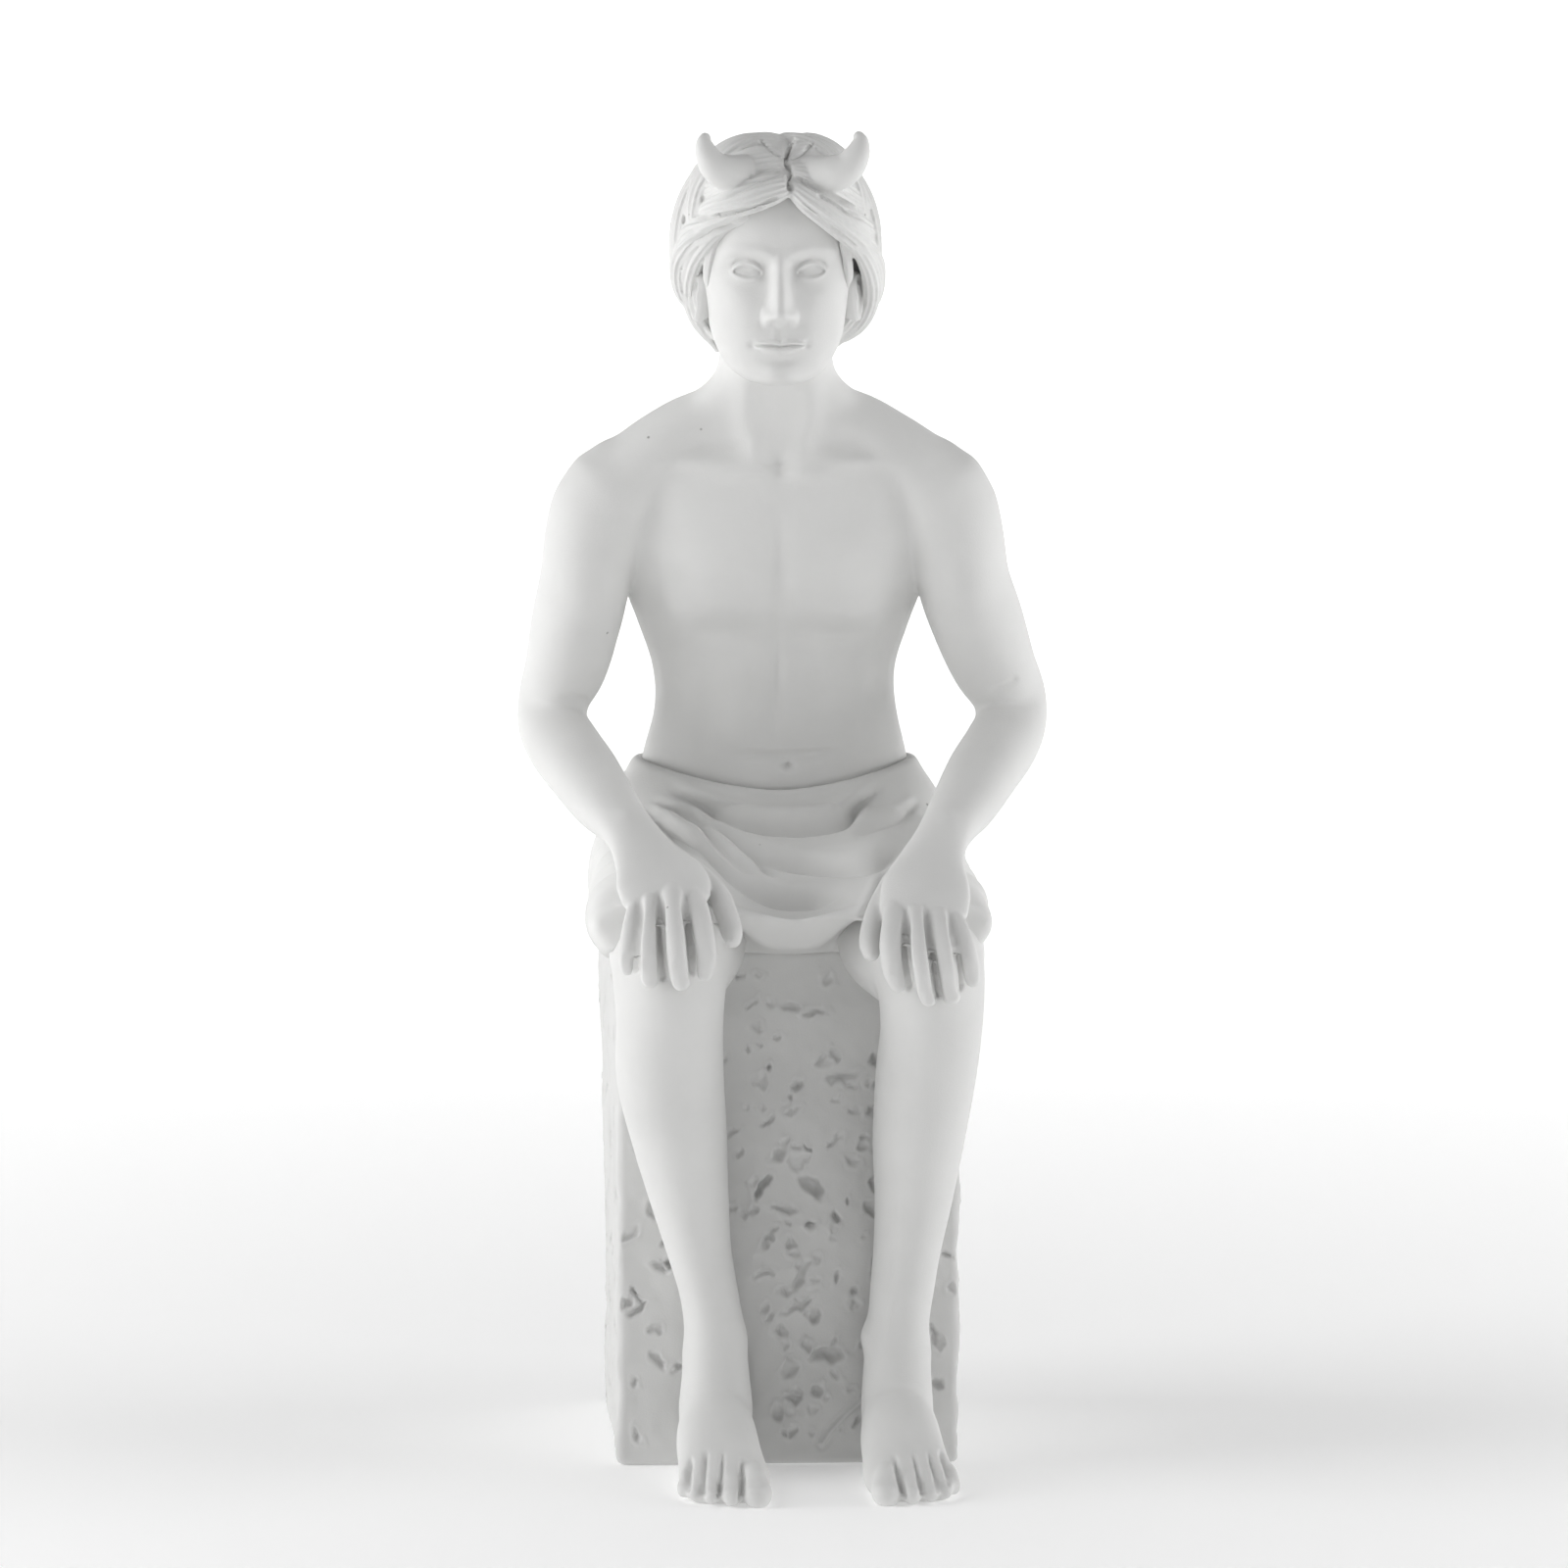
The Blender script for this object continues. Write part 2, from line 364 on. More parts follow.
LEFT_HORN = (
    (5.2, -40.0, 290.2, 5.0, 4.6), (9.6, -44.0, 290.7, 4.5, 4.2), (13.2, -45.6, 292.2, 3.8, 3.6),
    (15.3, -45.8, 295.2, 2.9, 2.9), (16.0, -45.2, 297.8, 2.0, 2.0), (15.7, -44.8, 298.9, 1.4, 1.4),
)

# The cloth: its rim over the trunk, its level rings, and the arched sections of its lap.
RIM_FRONT = 149.3
RIM_SIDE = 155.8
WRAP = (
    (0.0, 2.0, 112.0, 41.0, 26.0, 36.0), (0.0, 3.0, 118.0, 42.5, 24.0, 36.5),
    (0.0, 4.0, 126.0, 43.0, 22.0, 36.0), (0.0, 6.0, 134.0, 42.0, 19.5, 32.5),
    (0.0, 8.0, 142.0, 40.0, 17.8, 28.0), (-0.2, 9.5, 148.0, 37.2, 17.2, 23.5),
    (-0.3, 10.8, 153.0, 34.0, 17.2, 19.9), (-0.3, 11.0, 157.0, 32.0, 16.8, 18.2),
)
LAP = (
    (30.0, 31.0, 128.0, 127.0, 114.6), (20.0, 38.2, 138.0, 137.0, 113.6),
    (5.0, 42.4, 146.0, 145.0, 112.6), (-8.0, 43.2, 145.0, 145.2, 114.6),
    (-20.0, 43.8, 142.2, 140.0, 112.8), (-32.0, 44.8, 139.4, 135.6, 114.6),
    (-44.0, 45.6, 136.2, 130.6, 116.0), (-56.0, 45.4, 132.6, 124.8, 118.4),
    (-57.0, 44.6, 131.4, 123.6, 119.2),
)
THIGH_MIDDLE = 22.0
# Valleys of the cloth: x, z points seen from the front, depth, half width, roll above it.
VALLEYS = (
    (((-26.0, 149.6), (-21.6, 147.6), (-13.9, 144.5), (-6.4, 142.4), (-0.3, 141.8), (5.3, 141.8),
      (13.5, 143.3), (19.2, 146.5), (25.5, 150.8)), 1.7, 0.9, 0.9),
    (((-31.0, 147.2), (-20.3, 143.6), (-16.8, 140.6), (-10.4, 135.2), (-5.0, 132.8)), 1.1, 0.6, 0.6),
    (((-24.0, 146.4), (-19.6, 144.3), (-15.4, 142.3), (-11.7, 140.1), (-7.6, 137.0), (-4.1, 134.3),
      (0.1, 132.6)), 1.0, 0.6, 0.5),
    (((-11.7, 140.4), (-6.9, 137.4), (-3.3, 135.8), (4.7, 134.7), (11.5, 135.0), (21.4, 137.1),
      (27.2, 139.2)), 1.3, 0.8, 0.7),
    (((-32.0, 145.0), (-28.5, 143.4), (-23.2, 140.5), (-17.8, 138.5), (-12.6, 134.2), (-7.9, 130.9),
      (-3.1, 128.7), (3.0, 128.4), (8.0, 129.4), (13.6, 131.5)), 1.4, 0.8, 0.8),
    (((22.0, 135.4), (19.0, 131.6), (16.8, 128.4), (13.8, 124.6), (11.3, 121.9)), 0.9, 0.6, 0.4),
    (((-33.0, 141.0), (-27.0, 137.0), (-21.0, 132.4), (-16.0, 127.6), (-12.5, 123.4)), 0.7, 0.8, 0.3),
    (((33.0, 146.0), (28.0, 143.4), (22.0, 142.4), (15.0, 141.0)), 0.7, 0.8, 0.4),
)

# The block's front: x, z, length, width, turn in degrees and depth of each pit.
FRONT_PITS = (
    (0.3, 104.0, 2.2, 0.9, -25, 0.8), (6.2, 102.8, 2.4, 0.6, 5, 0.7), (12.2, 88.0, 3.0, 0.8, 12, 1.1),
    (1.6, 86.0, 1.2, 0.9, 60, 1.0), (-4.9, 78.2, 1.6, 0.6, 40, 0.7), (-2.2, 70.6, 1.9, 1.0, 45, 1.0),
    (11.3, 74.0, 1.2, 0.7, 70, 0.6), (-6.0, 63.3, 2.6, 0.8, 55, 1.5), (5.2, 63.3, 3.2, 1.3, -50, 1.6),
    (-0.9, 57.8, 2.4, 0.6, -15, 0.8), (13.3, 60.5, 0.8, 0.5, 60, 0.9), (10.5, 56.3, 1.0, 0.8, -60, 1.0),
    (5.0, 54.3, 0.9, 0.6, 0, 1.1), (-4.6, 51.5, 2.6, 0.9, 50, 0.9), (0.4, 50.6, 1.4, 0.9, -55, 0.9),
    (18.8, 57.8, 1.8, 0.9, -45, 0.8), (2.6, 42.8, 3.2, 0.9, 60, 1.0), (-1.0, 39.4, 1.4, 0.8, 0, 0.8),
    (-5.4, 43.4, 2.2, 0.6, 10, 0.6), (14.6, 39.2, 1.3, 0.6, 70, 0.9), (11.0, 42.6, 1.2, 0.5, 70, 0.7),
    (1.8, 36.0, 3.4, 0.7, 30, 0.9), (6.2, 33.5, 1.4, 0.9, 60, 1.2), (-1.6, 30.1, 1.5, 0.8, -40, 1.0),
    (9.0, 25.0, 3.0, 1.4, 0, 1.5), (0.2, 21.5, 2.0, 1.6, 50, 0.7), (6.8, 17.1, 1.2, 1.0, 0, 1.1),
    (1.4, 15.2, 1.5, 1.0, 0, 1.0), (15.6, 9.4, 1.0, 0.8, 40, 0.8), (-2.2, 11.6, 1.8, 0.9, -60, 0.7),
    (0.6, 7.4, 1.4, 0.8, 50, 0.7), (-4.2, 90.5, 0.8, 0.6, 60, 0.6), (-9.4, 94.5, 1.0, 0.7, 70, 0.6),
    (4.6, 72.0, 0.6, 0.5, 0, 0.6), (-10.8, 71.0, 1.0, 0.6, 80, 0.5), (8.2, 92.0, 1.2, 0.5, 25, 0.5),
)
CRACK = ((7.6, 4.6), (10.4, 8.4), (14.6, 12.6), (19.6, 16.6), (22.6, 19.0))
# Scattered pits: ranges of length, width, turn in degrees and depth, on the sides and back, on
# the front outside the shins, and for the shallow dents between the shins.
PIT_RANGES = ((0.7, 2.6), (0.5, 1.1), (-80, 80), (0.5, 1.2))
OUTER_PIT_RANGES = ((0.7, 2.4), (0.5, 1.1), (-80, 80), (0.5, 1.1))
DENT_RANGES = ((0.6, 1.7), (0.4, 1.0), (-80, 80), (0.2, 0.55))
# The block's corner radius, and the share of it by which its foot is rounded.
CORNER = 1.7
UNDERCUT = 0.75


# Shapes: everything below works on whole arrays.

def smooth_rows(rows, steps):
    """Rows read from a Catmull-Rom curve through the given ones, steps to each stretch."""
    rows = np.array(rows, float)
    ends = np.vstack([2 * rows[0] - rows[1], rows, 2 * rows[-1] - rows[-2]])
    t = np.arange(steps)[:, None] / steps
    made = [0.5 * (2 * b + (c - a) * t + (2 * a - 5 * b + 4 * c - d) * t**2
                   + (3 * b - a - 3 * c + d) * t**3)
            for a, b, c, d in zip(ends, ends[1:], ends[2:], ends[3:])]
    return np.vstack(made + [rows[-1:]])


def unit(vectors):
    """Vectors divided by their own length."""
    return vectors / np.maximum(np.linalg.norm(vectors, axis=-1, keepdims=True), 1e-12)


def step(value, start, end):
    """Smooth step from 0 at start to 1 at end: 3t^2 - 2t^3."""
    t = np.clip((value - start) / (end - start), 0, 1)
    return t * t * (3 - 2 * t)


def mound(a, b, middle, reach, power=2.0):
    """A soft mound: e to the minus d^power, d being the distance in reaches."""
    d = ((a - middle[0]) / reach[0]) ** 2 + ((b - middle[1]) / reach[1]) ** 2
    return np.exp(-d ** (power / 2))


def oval(sides, squareness):
    """Unit ring of a rounded box: 2 gives a circle, more gives fuller corners."""
    angle = np.linspace(0, 2 * math.pi, sides, endpoint=False)
    c, s = np.cos(angle), np.sin(angle)
    power = 2 / squareness
    return np.sign(c) * np.abs(c) ** power, np.sign(s) * np.abs(s) ** power


def closed_shell(rings):
    """Points, four-sided and three-sided faces of rings in order, each end closed to a point."""
    count, sides = rings.shape[:2]
    points = np.vstack([rings.reshape(-1, 3), rings[:1].mean(1), rings[-1:].mean(1)])
    row = np.arange(count - 1)[:, None] * sides
    i = np.arange(sides)
    j = (i + 1) % sides
    quads = np.stack([row + i, row + j, row + sides + j, row + sides + i], -1).reshape(-1, 4)
    last = (count - 1) * sides
    low, high = np.full(sides, count * sides), np.full(sides, count * sides + 1)
    caps = np.vstack([np.stack([j, i, low], 1), np.stack([last + i, last + j, high], 1)])
    a, b, c = points[quads[:, 0]], points[quads[:, 1]], points[quads[:, 2]]
    if (np.cross(a, b) * c).sum() < 0:
        quads, caps = quads[:, ::-1], caps[:, ::-1]
    return points, quads, caps


def level_shell(rows, sides=96, squareness=2.2, steps=10):
    """Rings x + w*cos, y + d*sin at each height, d being another depth in front than behind."""
    across, through = oval(sides, squareness)
    table = smooth_rows(rows, steps)[:, :, None]
    depth = np.where(through < 0, table[:, 4], table[:, 5])
    return closed_shell(np.stack([table[:, 0] + table[:, 3] * across,
                                  table[:, 1] + depth * through,
                                  table[:, 2] + 0 * across], -1))


def tube(rows, side, other, sides, groove=None):
    """Rings about a path: middle + a*side*cos + b*other*sin, both ends rounded over."""
    ahead = unit(np.gradient(rows[:, :3], axis=0))
    across, through = oval(sides, 2.0)
    turns = np.radians([80, 62, 44, 22])
    place = np.concatenate([np.zeros(4, int), np.arange(len(rows)), np.full(4, len(rows) - 1)])
    shrink = np.concatenate([np.cos(turns), np.ones(len(rows)), np.cos(turns[::-1])])
    shift = np.concatenate([-np.sin(turns), np.zeros(len(rows)), np.sin(turns[::-1])])
    least = np.minimum(rows[:, 3], rows[:, 4])
    middle = rows[place, :3] + ahead[place] * (shift * least[place])[:, None]
    swell = np.ones((len(place), sides)) if groove is None else groove[place]
    wide = (shrink * rows[place, 3])[:, None] * across * swell
    high = (shrink * rows[place, 4])[:, None] * through * swell
    return closed_shell(middle[:, None] + wide[..., None] * side[place][:, None]
                        + high[..., None] * other[place][:, None])


def limb(rows, sides=56, steps=10, hint=(1, 0, 0)):
    """A tube square to its path: x, y, z, half size along the hint and across it."""
    rows = smooth_rows(rows, steps)
    ahead = unit(np.gradient(rows[:, :3], axis=0))
    hint = np.array(hint, float)
    side = unit(hint - ahead * (ahead @ hint)[:, None])
    return tube(rows, side, np.cross(ahead, side), sides)


def line_gap(a, b, line):
    """Distance from places (a, b) to a polyline, its sign (+ above), and how far along."""
    nearest = np.full(a.shape, 1e9)
    above = np.ones(a.shape)
    reach = np.zeros(a.shape)
    for k, ((a0, b0), (a1, b1)) in enumerate(zip(line[:-1], line[1:])):
        da, db = a1 - a0, b1 - b0
        t = np.clip(((a - a0) * da + (b - b0) * db) / (da * da + db * db), 0, 1)
        ga, gb = a - a0 - t * da, b - b0 - t * db
        gap = np.hypot(ga, gb)
        closer = gap < nearest
        nearest = np.where(closer, gap, nearest)
        above = np.where(closer, np.sign((da * gb - db * ga) * np.sign(da)), above)
        reach = np.where(closer, k + t, reach)
    return nearest, above, reach / (len(line) - 1)


def lumps(points, size, seed):
    """Smooth random heights from 0 to 1: a lattice of the given pitch, eased between corners."""
    table = np.random.default_rng(seed).random(4096)
    place = points / size
    corner = np.floor(place).astype(np.int64)
    t = place - corner
    t = t * t * (3 - 2 * t)
    total = np.zeros(len(points))
    for i in (0, 1):
        for j in (0, 1):
            for k in (0, 1):
                x, y, z = (corner + (i, j, k)).T
                key = (x * 73856093 ^ y * 19349663 ^ z * 83492791) & 4095
                share = (np.abs(1 - i - t[:, 0]) * np.abs(1 - j - t[:, 1])
                         * np.abs(1 - k - t[:, 2]))
                total += table[key] * share
    return total


# Meshes: putting shells together, smoothing and carving them.

def mesh_of(name, points, quads, triangles=None):
    """A mesh of the points, its four-sided faces first and then its triangles."""
    if triangles is None:
        triangles = np.empty((0, 3), int)
    sizes = np.concatenate([np.full(len(quads), 4), np.full(len(triangles), 3)])
    corners = np.concatenate([np.ravel(quads), np.ravel(triangles)]).astype(np.int32)
    mesh = bpy.data.meshes.new(name)
    mesh.vertices.add(len(points))
    mesh.vertices.foreach_set("co", np.ravel(points).astype(np.float32))
    mesh.loops.add(len(corners))
    mesh.loops.foreach_set("vertex_index", corners)
    mesh.polygons.add(len(sizes))
    mesh.polygons.foreach_set("loop_start", (np.cumsum(sizes) - sizes).astype(np.int32))
    mesh.update(calc_edges=True)
    mesh.validate()
    return mesh


def joined(shells):
    """Points and faces of several shells as one set."""
    starts = np.cumsum([0] + [len(points) for points, _, _ in shells])
    return (np.vstack([points for points, _, _ in shells]),
            np.vstack([quads + start for (_, quads, _), start in zip(shells, starts)]),
            np.vstack([caps + start for (_, _, caps), start in zip(shells, starts)]))


def through_modifier(mesh, kind, **settings):
    """The mesh after one modifier."""
    obj = bpy.data.objects.new("clay", mesh)
    bpy.context.collection.objects.link(obj)
    modifier = obj.modifiers.new(kind.title(), kind)
    for key, value in settings.items():
        setattr(modifier, key, value)
    depsgraph = bpy.context.evaluated_depsgraph_get()
    made = bpy.data.meshes.new_from_object(obj.evaluated_get(depsgraph))
    bpy.data.objects.remove(obj)
    bpy.data.meshes.remove(mesh)
    return made


def fused(shells, voxel):
    """Overlapping shells as one skin of small four-sided faces: points, quads and edges."""
    mesh = through_modifier(mesh_of("clay", *joined(shells)), "REMESH", mode="VOXEL",
                            voxel_size=voxel, use_smooth_shade=True)
    points = np.empty(len(mesh.vertices) * 3, np.float32)
    corners = np.empty(len(mesh.loops), np.int32)
    edges = np.empty(len(mesh.edges) * 2, np.int32)
    mesh.vertices.foreach_get("co", points)
    mesh.loops.foreach_get("vertex_index", corners)
    mesh.edges.foreach_get("vertices", edges)
    bpy.data.meshes.remove(mesh)
    return points.reshape(-1, 3).astype(float), corners.reshape(-1, 4), edges.reshape(-1, 2)


def relaxed(points, edges, share, rounds):
    """Each point moves by its share of the way to its neighbours' mean, round after round."""
    least = 0.002
    share = np.broadcast_to(share, len(points))
    a, b = edges[(share[edges] > least).any(1)].T
    ends, others = np.concatenate([a, b]), np.concatenate([b, a])
    moved = share > least
    near = np.maximum(np.bincount(ends, minlength=len(points)), 1)[moved, None]
    part = share[moved, None]
    points = points.copy()
    for _ in range(rounds):
        total = np.stack([np.bincount(ends, points[others, k], len(points))[moved]
                          for k in range(3)], 1)
        points[moved] += part * (total / near - points[moved])
    return points


def outward(points, quads):
    """Unit normals at the points, from the faces' cross products."""
    p = points[quads]
    face = np.cross(p[:, 2] - p[:, 0], p[:, 3] - p[:, 1])
    total = np.stack([np.bincount(quads.ravel(), np.repeat(face[:, k], 4), len(points))
                      for k in range(3)], 1)
    return unit(total)


def marks(points, table):
    """Push at each point: the sum of push * e^-(d^2), d in reaches from each mark's middle."""
    push = np.zeros(len(points))
    for middle, reach, amount in table:
        d = (((points - middle) / reach) ** 2).sum(1)
        push += amount * np.exp(-d)
    return push


def finish_piece(name, mesh, keep=None, finish=("white bisque", 1.0)):
    """Thins the mesh to about keep triangles, scales parts to metres, and hands it over."""
    sizes = bpy.context.scene.figurine_sizes
    if keep is not None:
        mesh = through_modifier(mesh, "DECIMATE", ratio=keep / (2 * len(mesh.polygons)))
    scale = sizes.height / CANON
    points = np.empty(len(mesh.vertices) * 3, np.float32)
    mesh.vertices.foreach_get("co", points)
    mesh.vertices.foreach_set("co", points * scale)
    mesh.polygons.foreach_set("use_smooth", np.ones(len(mesh.polygons), bool))
    mesh.update()
    mesh.name = name
    mesh.materials.clear()
    mesh.materials.append(bisque(*finish))
    obj = bpy.data.objects.new(name, mesh)
    bpy.context.collection.objects.link(obj)
    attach(obj, BODY)
    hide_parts(NODE)


# The youth's body.

def toes(foot, table):
    """Each toe a tube from the ball of the foot, arched and then down to its round tip."""
    shells = [limb(foot, sides=48)]
    for root, tip, end, wide in table:
        height = 1.02 * wide + 0.9
        shells.append(limb([(root, -83.0, 4.4, wide * 0.96, height * 0.9),
                            ((root + tip) / 2, (end - 84.0) / 2, 3.9, wide * 0.94, height * 0.9),
                            (tip, end + wide * 1.5, 2.7, wide * 1.04, height * 0.86),
                            (tip, end + wide * 0.9, 2.4, wide * 0.96, height * 0.76)], sides=28))
    return shells


def fingers(table):
    """Each finger a tube, fuller at its joints."""
    shells = []
    for points, wide in table:
        swell = wide * np.array((1.2, 1.16, 1.14, 1.08, 0.88))
        rows = [(*point, half, half) for point, half in zip(points, swell)]
        shells.append(limb(rows, sides=28))
    return shells


def skin_push(points, normals):
    """How far the skin moves out: marks, less creases, gaps, navel and nails, each e^-d^2."""
    x, y, z = points.T
    pair = np.column_stack([np.abs(x + 1.5), y, z])
    push = marks(pair, PAIRED_MARKS) + marks(points, SINGLE_MARKS)
    front = step(normals[:, 1], 0.15, -0.25)
    for line, depth, half, farthest in SKIN_CREASES:
        gap, _, reach = line_gap(x, z, smooth_rows(line, 5))
        fade = step(reach, 0, 0.25) * step(reach, 1, 0.75) * front * (y < farthest)
        push -= depth * np.exp(-(gap / half) ** 2) * fade
    for line, depth, half, nearest in DIGIT_GAPS:
        gap, _, reach = line_gap(x, z, smooth_rows(line, 5))
        fade = step(reach, 0, 0.3) * (y < nearest) * step(normals[:, 1], 0.5, 0.1)
        push -= depth * np.exp(-(gap / half) ** 2) * fade
    navel = mound(x, z, (2.0, 154.6), (1.3, 0.8)) * front * (y < 2)
    push += 0.5 * mound(x, z, (2.0, 153.6), (2.2, 1.3)) * front * (y < 2) - 2.2 * navel
    for middle, half in NAILS:
        d = (points - middle) / (half, 1.6, 1.9 * half)
        d = (np.abs(d) ** 4).sum(1)
        push -= 0.28 * np.exp(-d) - 0.1 * np.exp(-(d - 1.6) ** 2 / 0.5) * (d < 4)
    for _, tip, end, wide in RIGHT_TOES + LEFT_TOES:
        top = 0.86 * (1.02 * wide + 0.9) + 2.5
        d = (points - (tip, end + 1.1 * wide, top)) / (0.72 * wide, 0.95 * wide, 1.6)
        push -= 0.26 * np.exp(-(np.abs(d) ** 4).sum(1))
    return push


def youth():
    """Trunk, arms, legs, hands and feet: fused tubes, smoothed by place, then carved."""
    shells = [level_shell(TRUNK), limb(YOKE, hint=(0, 1, 0))]
    shells += [limb(rows) for rows in (RIGHT_ARM, LEFT_ARM, RIGHT_LEG, LEFT_LEG,
                                     RIGHT_KNEE, LEFT_KNEE)]
    shells += toes(RIGHT_FOOT, RIGHT_TOES) + toes(LEFT_FOOT, LEFT_TOES)
    shells += fingers(RIGHT_FINGERS) + fingers(LEFT_FINGERS)
    sizes = bpy.context.scene.figurine_sizes
    points, quads, edges = fused(shells, sizes.grain)
    x, y, z = points.T
    hands = step(y, -64, -70) * step(z, 100, 106)
    feet = step(z, 22, 12) * step(y, -76, -82)
    joint = (step(z, 196, 204) * step(z, 252, 240)
             + np.exp(-((z - 165) / 7) ** 2) * step(np.abs(x), 36, 42)
             + step(z, 42, 34) * step(y, -76, -70))
    points = relaxed(points, edges, 0.6 * np.clip(joint, 0, 1) * (1 - hands) * (1 - feet), 70)
    points = relaxed(points, edges, 0.5 * (1 - 0.6 * hands) * (1 - 0.5 * feet), 9)
    normals = outward(points, quads)
    points = points + normals * skin_push(points, normals)[:, None]
    points = relaxed(points, edges, 0.25, 2)
    points[:, 2] = np.maximum(points[:, 2], 0.05)
    finish_piece("youth", mesh_of("youth", points, quads), keep=KEPT_TRIANGLES)


# The head.

def face_relief(u, z):
    """How far the face stands forward of the plain head, from places across and up it."""
    a = np.abs(u)
    near = smooth_rows(NOSE_HEIGHT, 6)
    nose = np.interp(z, near[:, 0], near[:, 1])
    widths = smooth_rows(NOSE_HALF_WIDTH, 6)
    half = np.interp(z, widths[:, 0], widths[:, 1])
    relief = nose * (0.72 * np.exp(-(a / half) ** 2.6) + 0.28 * np.exp(-(a / (1.9 * half)) ** 2))
    for middle, reach, power, push in FACE_MOUNDS:
        relief += push * mound(a, z, middle, reach, power)
    # Brows: a ridge along an arch. Eyes: lids as ridges and grooves along two arcs of a chord.
    brow = BROW_HEIGHT + 1.2 * np.sin(np.clip((a - 2.0) / 10.5, 0, 1) * 2.5)
    relief += 0.8 * np.exp(-((z - brow) / 1.5) ** 2) * step(a, 0.8, 3.4) * step(a, 14.5, 10.5)
    t = np.clip((a - 3.6) / 6.9, 0, 1)
    chord = EYE_LINE + 0.35 * t
    arch = np.sin(math.pi * t)
    upper = chord + 1.7 * arch ** 0.75
    lower = chord - 1.0 * arch ** 0.9
    opened = step(z, lower - 0.05, lower + 0.25) * step(z, upper + 0.05, upper - 0.25)
    relief -= 0.55 * opened * step(arch, 0.05, 0.3)
    lids = step(a, 3.4, 5.2) * step(a, 11.4, 9.6)
    relief += 0.42 * np.exp(-((z - upper - 0.4) / 0.4) ** 2) * lids
    relief -= 0.6 * np.exp(-((z - upper - 1.35) / 0.4) ** 2) * lids
    relief += 0.26 * np.exp(-((z - lower + 0.4) / 0.36) ** 2) * lids
    # Lips: half sine waves above and below the line where they part.
    span = np.clip(1 - (a / MOUTH_HALF_WIDTH) ** 2, 0, 1)
    parting = MOUTH_LINE - 0.24 * np.exp(-(a / 0.9) ** 2) + 0.16 * (a / MOUTH_HALF_WIDTH) ** 2
    upper = parting + 0.2 + 1.35 * span ** 0.8 - 0.3 * np.exp(-(a / 0.6) ** 2)
    lower = parting - 0.2 - 1.75 * span ** 0.8
    for height, edge in ((0.75, upper), (0.95, lower)):
        share = np.clip((z - parting) / (edge - parting), 0, 1)
        relief += height * np.sin(math.pi * share) ** 0.8 * span ** 0.5
    relief -= 0.5 * np.exp(-((z - parting) / 0.3) ** 2) * step(a, 6.3, 5.0)
    return relief


def ear(sign):
    """A disc turned to the side: a rim ridge, an inner ridge, and a hollow; plain behind."""
    sides, count = 72, 24
    turn = np.linspace(0, 2 * math.pi, sides, endpoint=False)
    r = np.linspace(0.03, 1, count)[:, None]
    height = EAR_HALF_HEIGHT * (1 - 0.1 * np.sin(turn)) * (1 + 0 * r)
    width = EAR_HALF_WIDTH * (1 + 0.18 * np.sin(turn)) * (1 + 0 * r)
    up = r * height * np.sin(turn)
    back = r * width * np.cos(turn)
    rim = step(turn, 0.2, 0.9) * step(turn, 5.4, 4.6) + step(np.cos(turn), -0.2, 0.8)
    relief = 1.3 * np.exp(-((r - 0.86) / 0.14) ** 2) * np.clip(rim, 0.25, 1)
    relief += 0.9 * np.exp(-((r - 0.5) / 0.14) ** 2) * step(np.cos(turn), 0.0, 0.7)
    relief -= 1.0 * np.exp(-(((back + 0.4) / 1.3) ** 2 + ((up + 0.6) / 2.2) ** 2))
    relief += 0.8 * np.exp(-(((back + 1.9) / 0.7) ** 2 + ((up + 0.9) / 1.1) ** 2))
    relief *= step(r, 1.0, 0.9) * 0.6 + 0.4
    outer = np.stack([sign * (0.9 + relief + 0.34 * back), back, up], -1)
    inner = np.stack([sign * (-1.6 + 0.34 * back) + 0 * up, back * 0.8, up * 0.8], -1)[::-1]
    rings = np.concatenate([outer, inner])
    tilt = math.radians(EAR_TILT)
    y = rings[..., 1] * math.cos(tilt) - rings[..., 2] * math.sin(tilt)
    z = rings[..., 1] * math.sin(tilt) + rings[..., 2] * math.cos(tilt)
    middle = (HEAD_X + sign * EAR_PLACE[0], *EAR_PLACE[1:])
    return closed_shell(np.stack([rings[..., 0], y, z], -1) + middle)


def head():
    """Level rings of a plain head, denser in front, pushed forward by the face's relief."""
    share = np.linspace(-1, 1, 361)[:-1]
    turn = math.pi * (0.45 * share + 0.55 * share ** 3)
    across, through = np.sin(turn), -np.cos(turn)
    power = 2 / 2.12
    across = np.sign(across) * np.abs(across) ** power
    through = np.sign(through) * np.abs(through) ** power
    table = smooth_rows(HEAD, 20)[:, :, None]
    depth = np.where(through < 0, table[:, 4], table[:, 5])
    u = table[:, 3] * across
    z = table[:, 2] + 0 * across
    fade = step(np.cos(turn), 0.05, 0.45)
    y = table[:, 1] + depth * through - face_relief(u, z) * fade
    skull = closed_shell(np.stack([table[:, 0] + u, y, z], -1))
    points, quads, caps = joined([skull, ear(-1), ear(1)])
    finish_piece("head", mesh_of("head", points, quads, caps))


# The hair and horns.

def on_egg(azimuth, height, lift=0.0):
    """Points of the hair's egg at an azimuth from the front and a height angle, in degrees."""
    a, h = np.radians(azimuth), np.radians(height)
    aim = np.stack([np.sin(a) * np.cos(h), -np.cos(a) * np.cos(h), np.sin(h)], -1)
    return HAIR_MIDDLE + aim * (HAIR_SIZE + np.asarray(lift)[..., None])


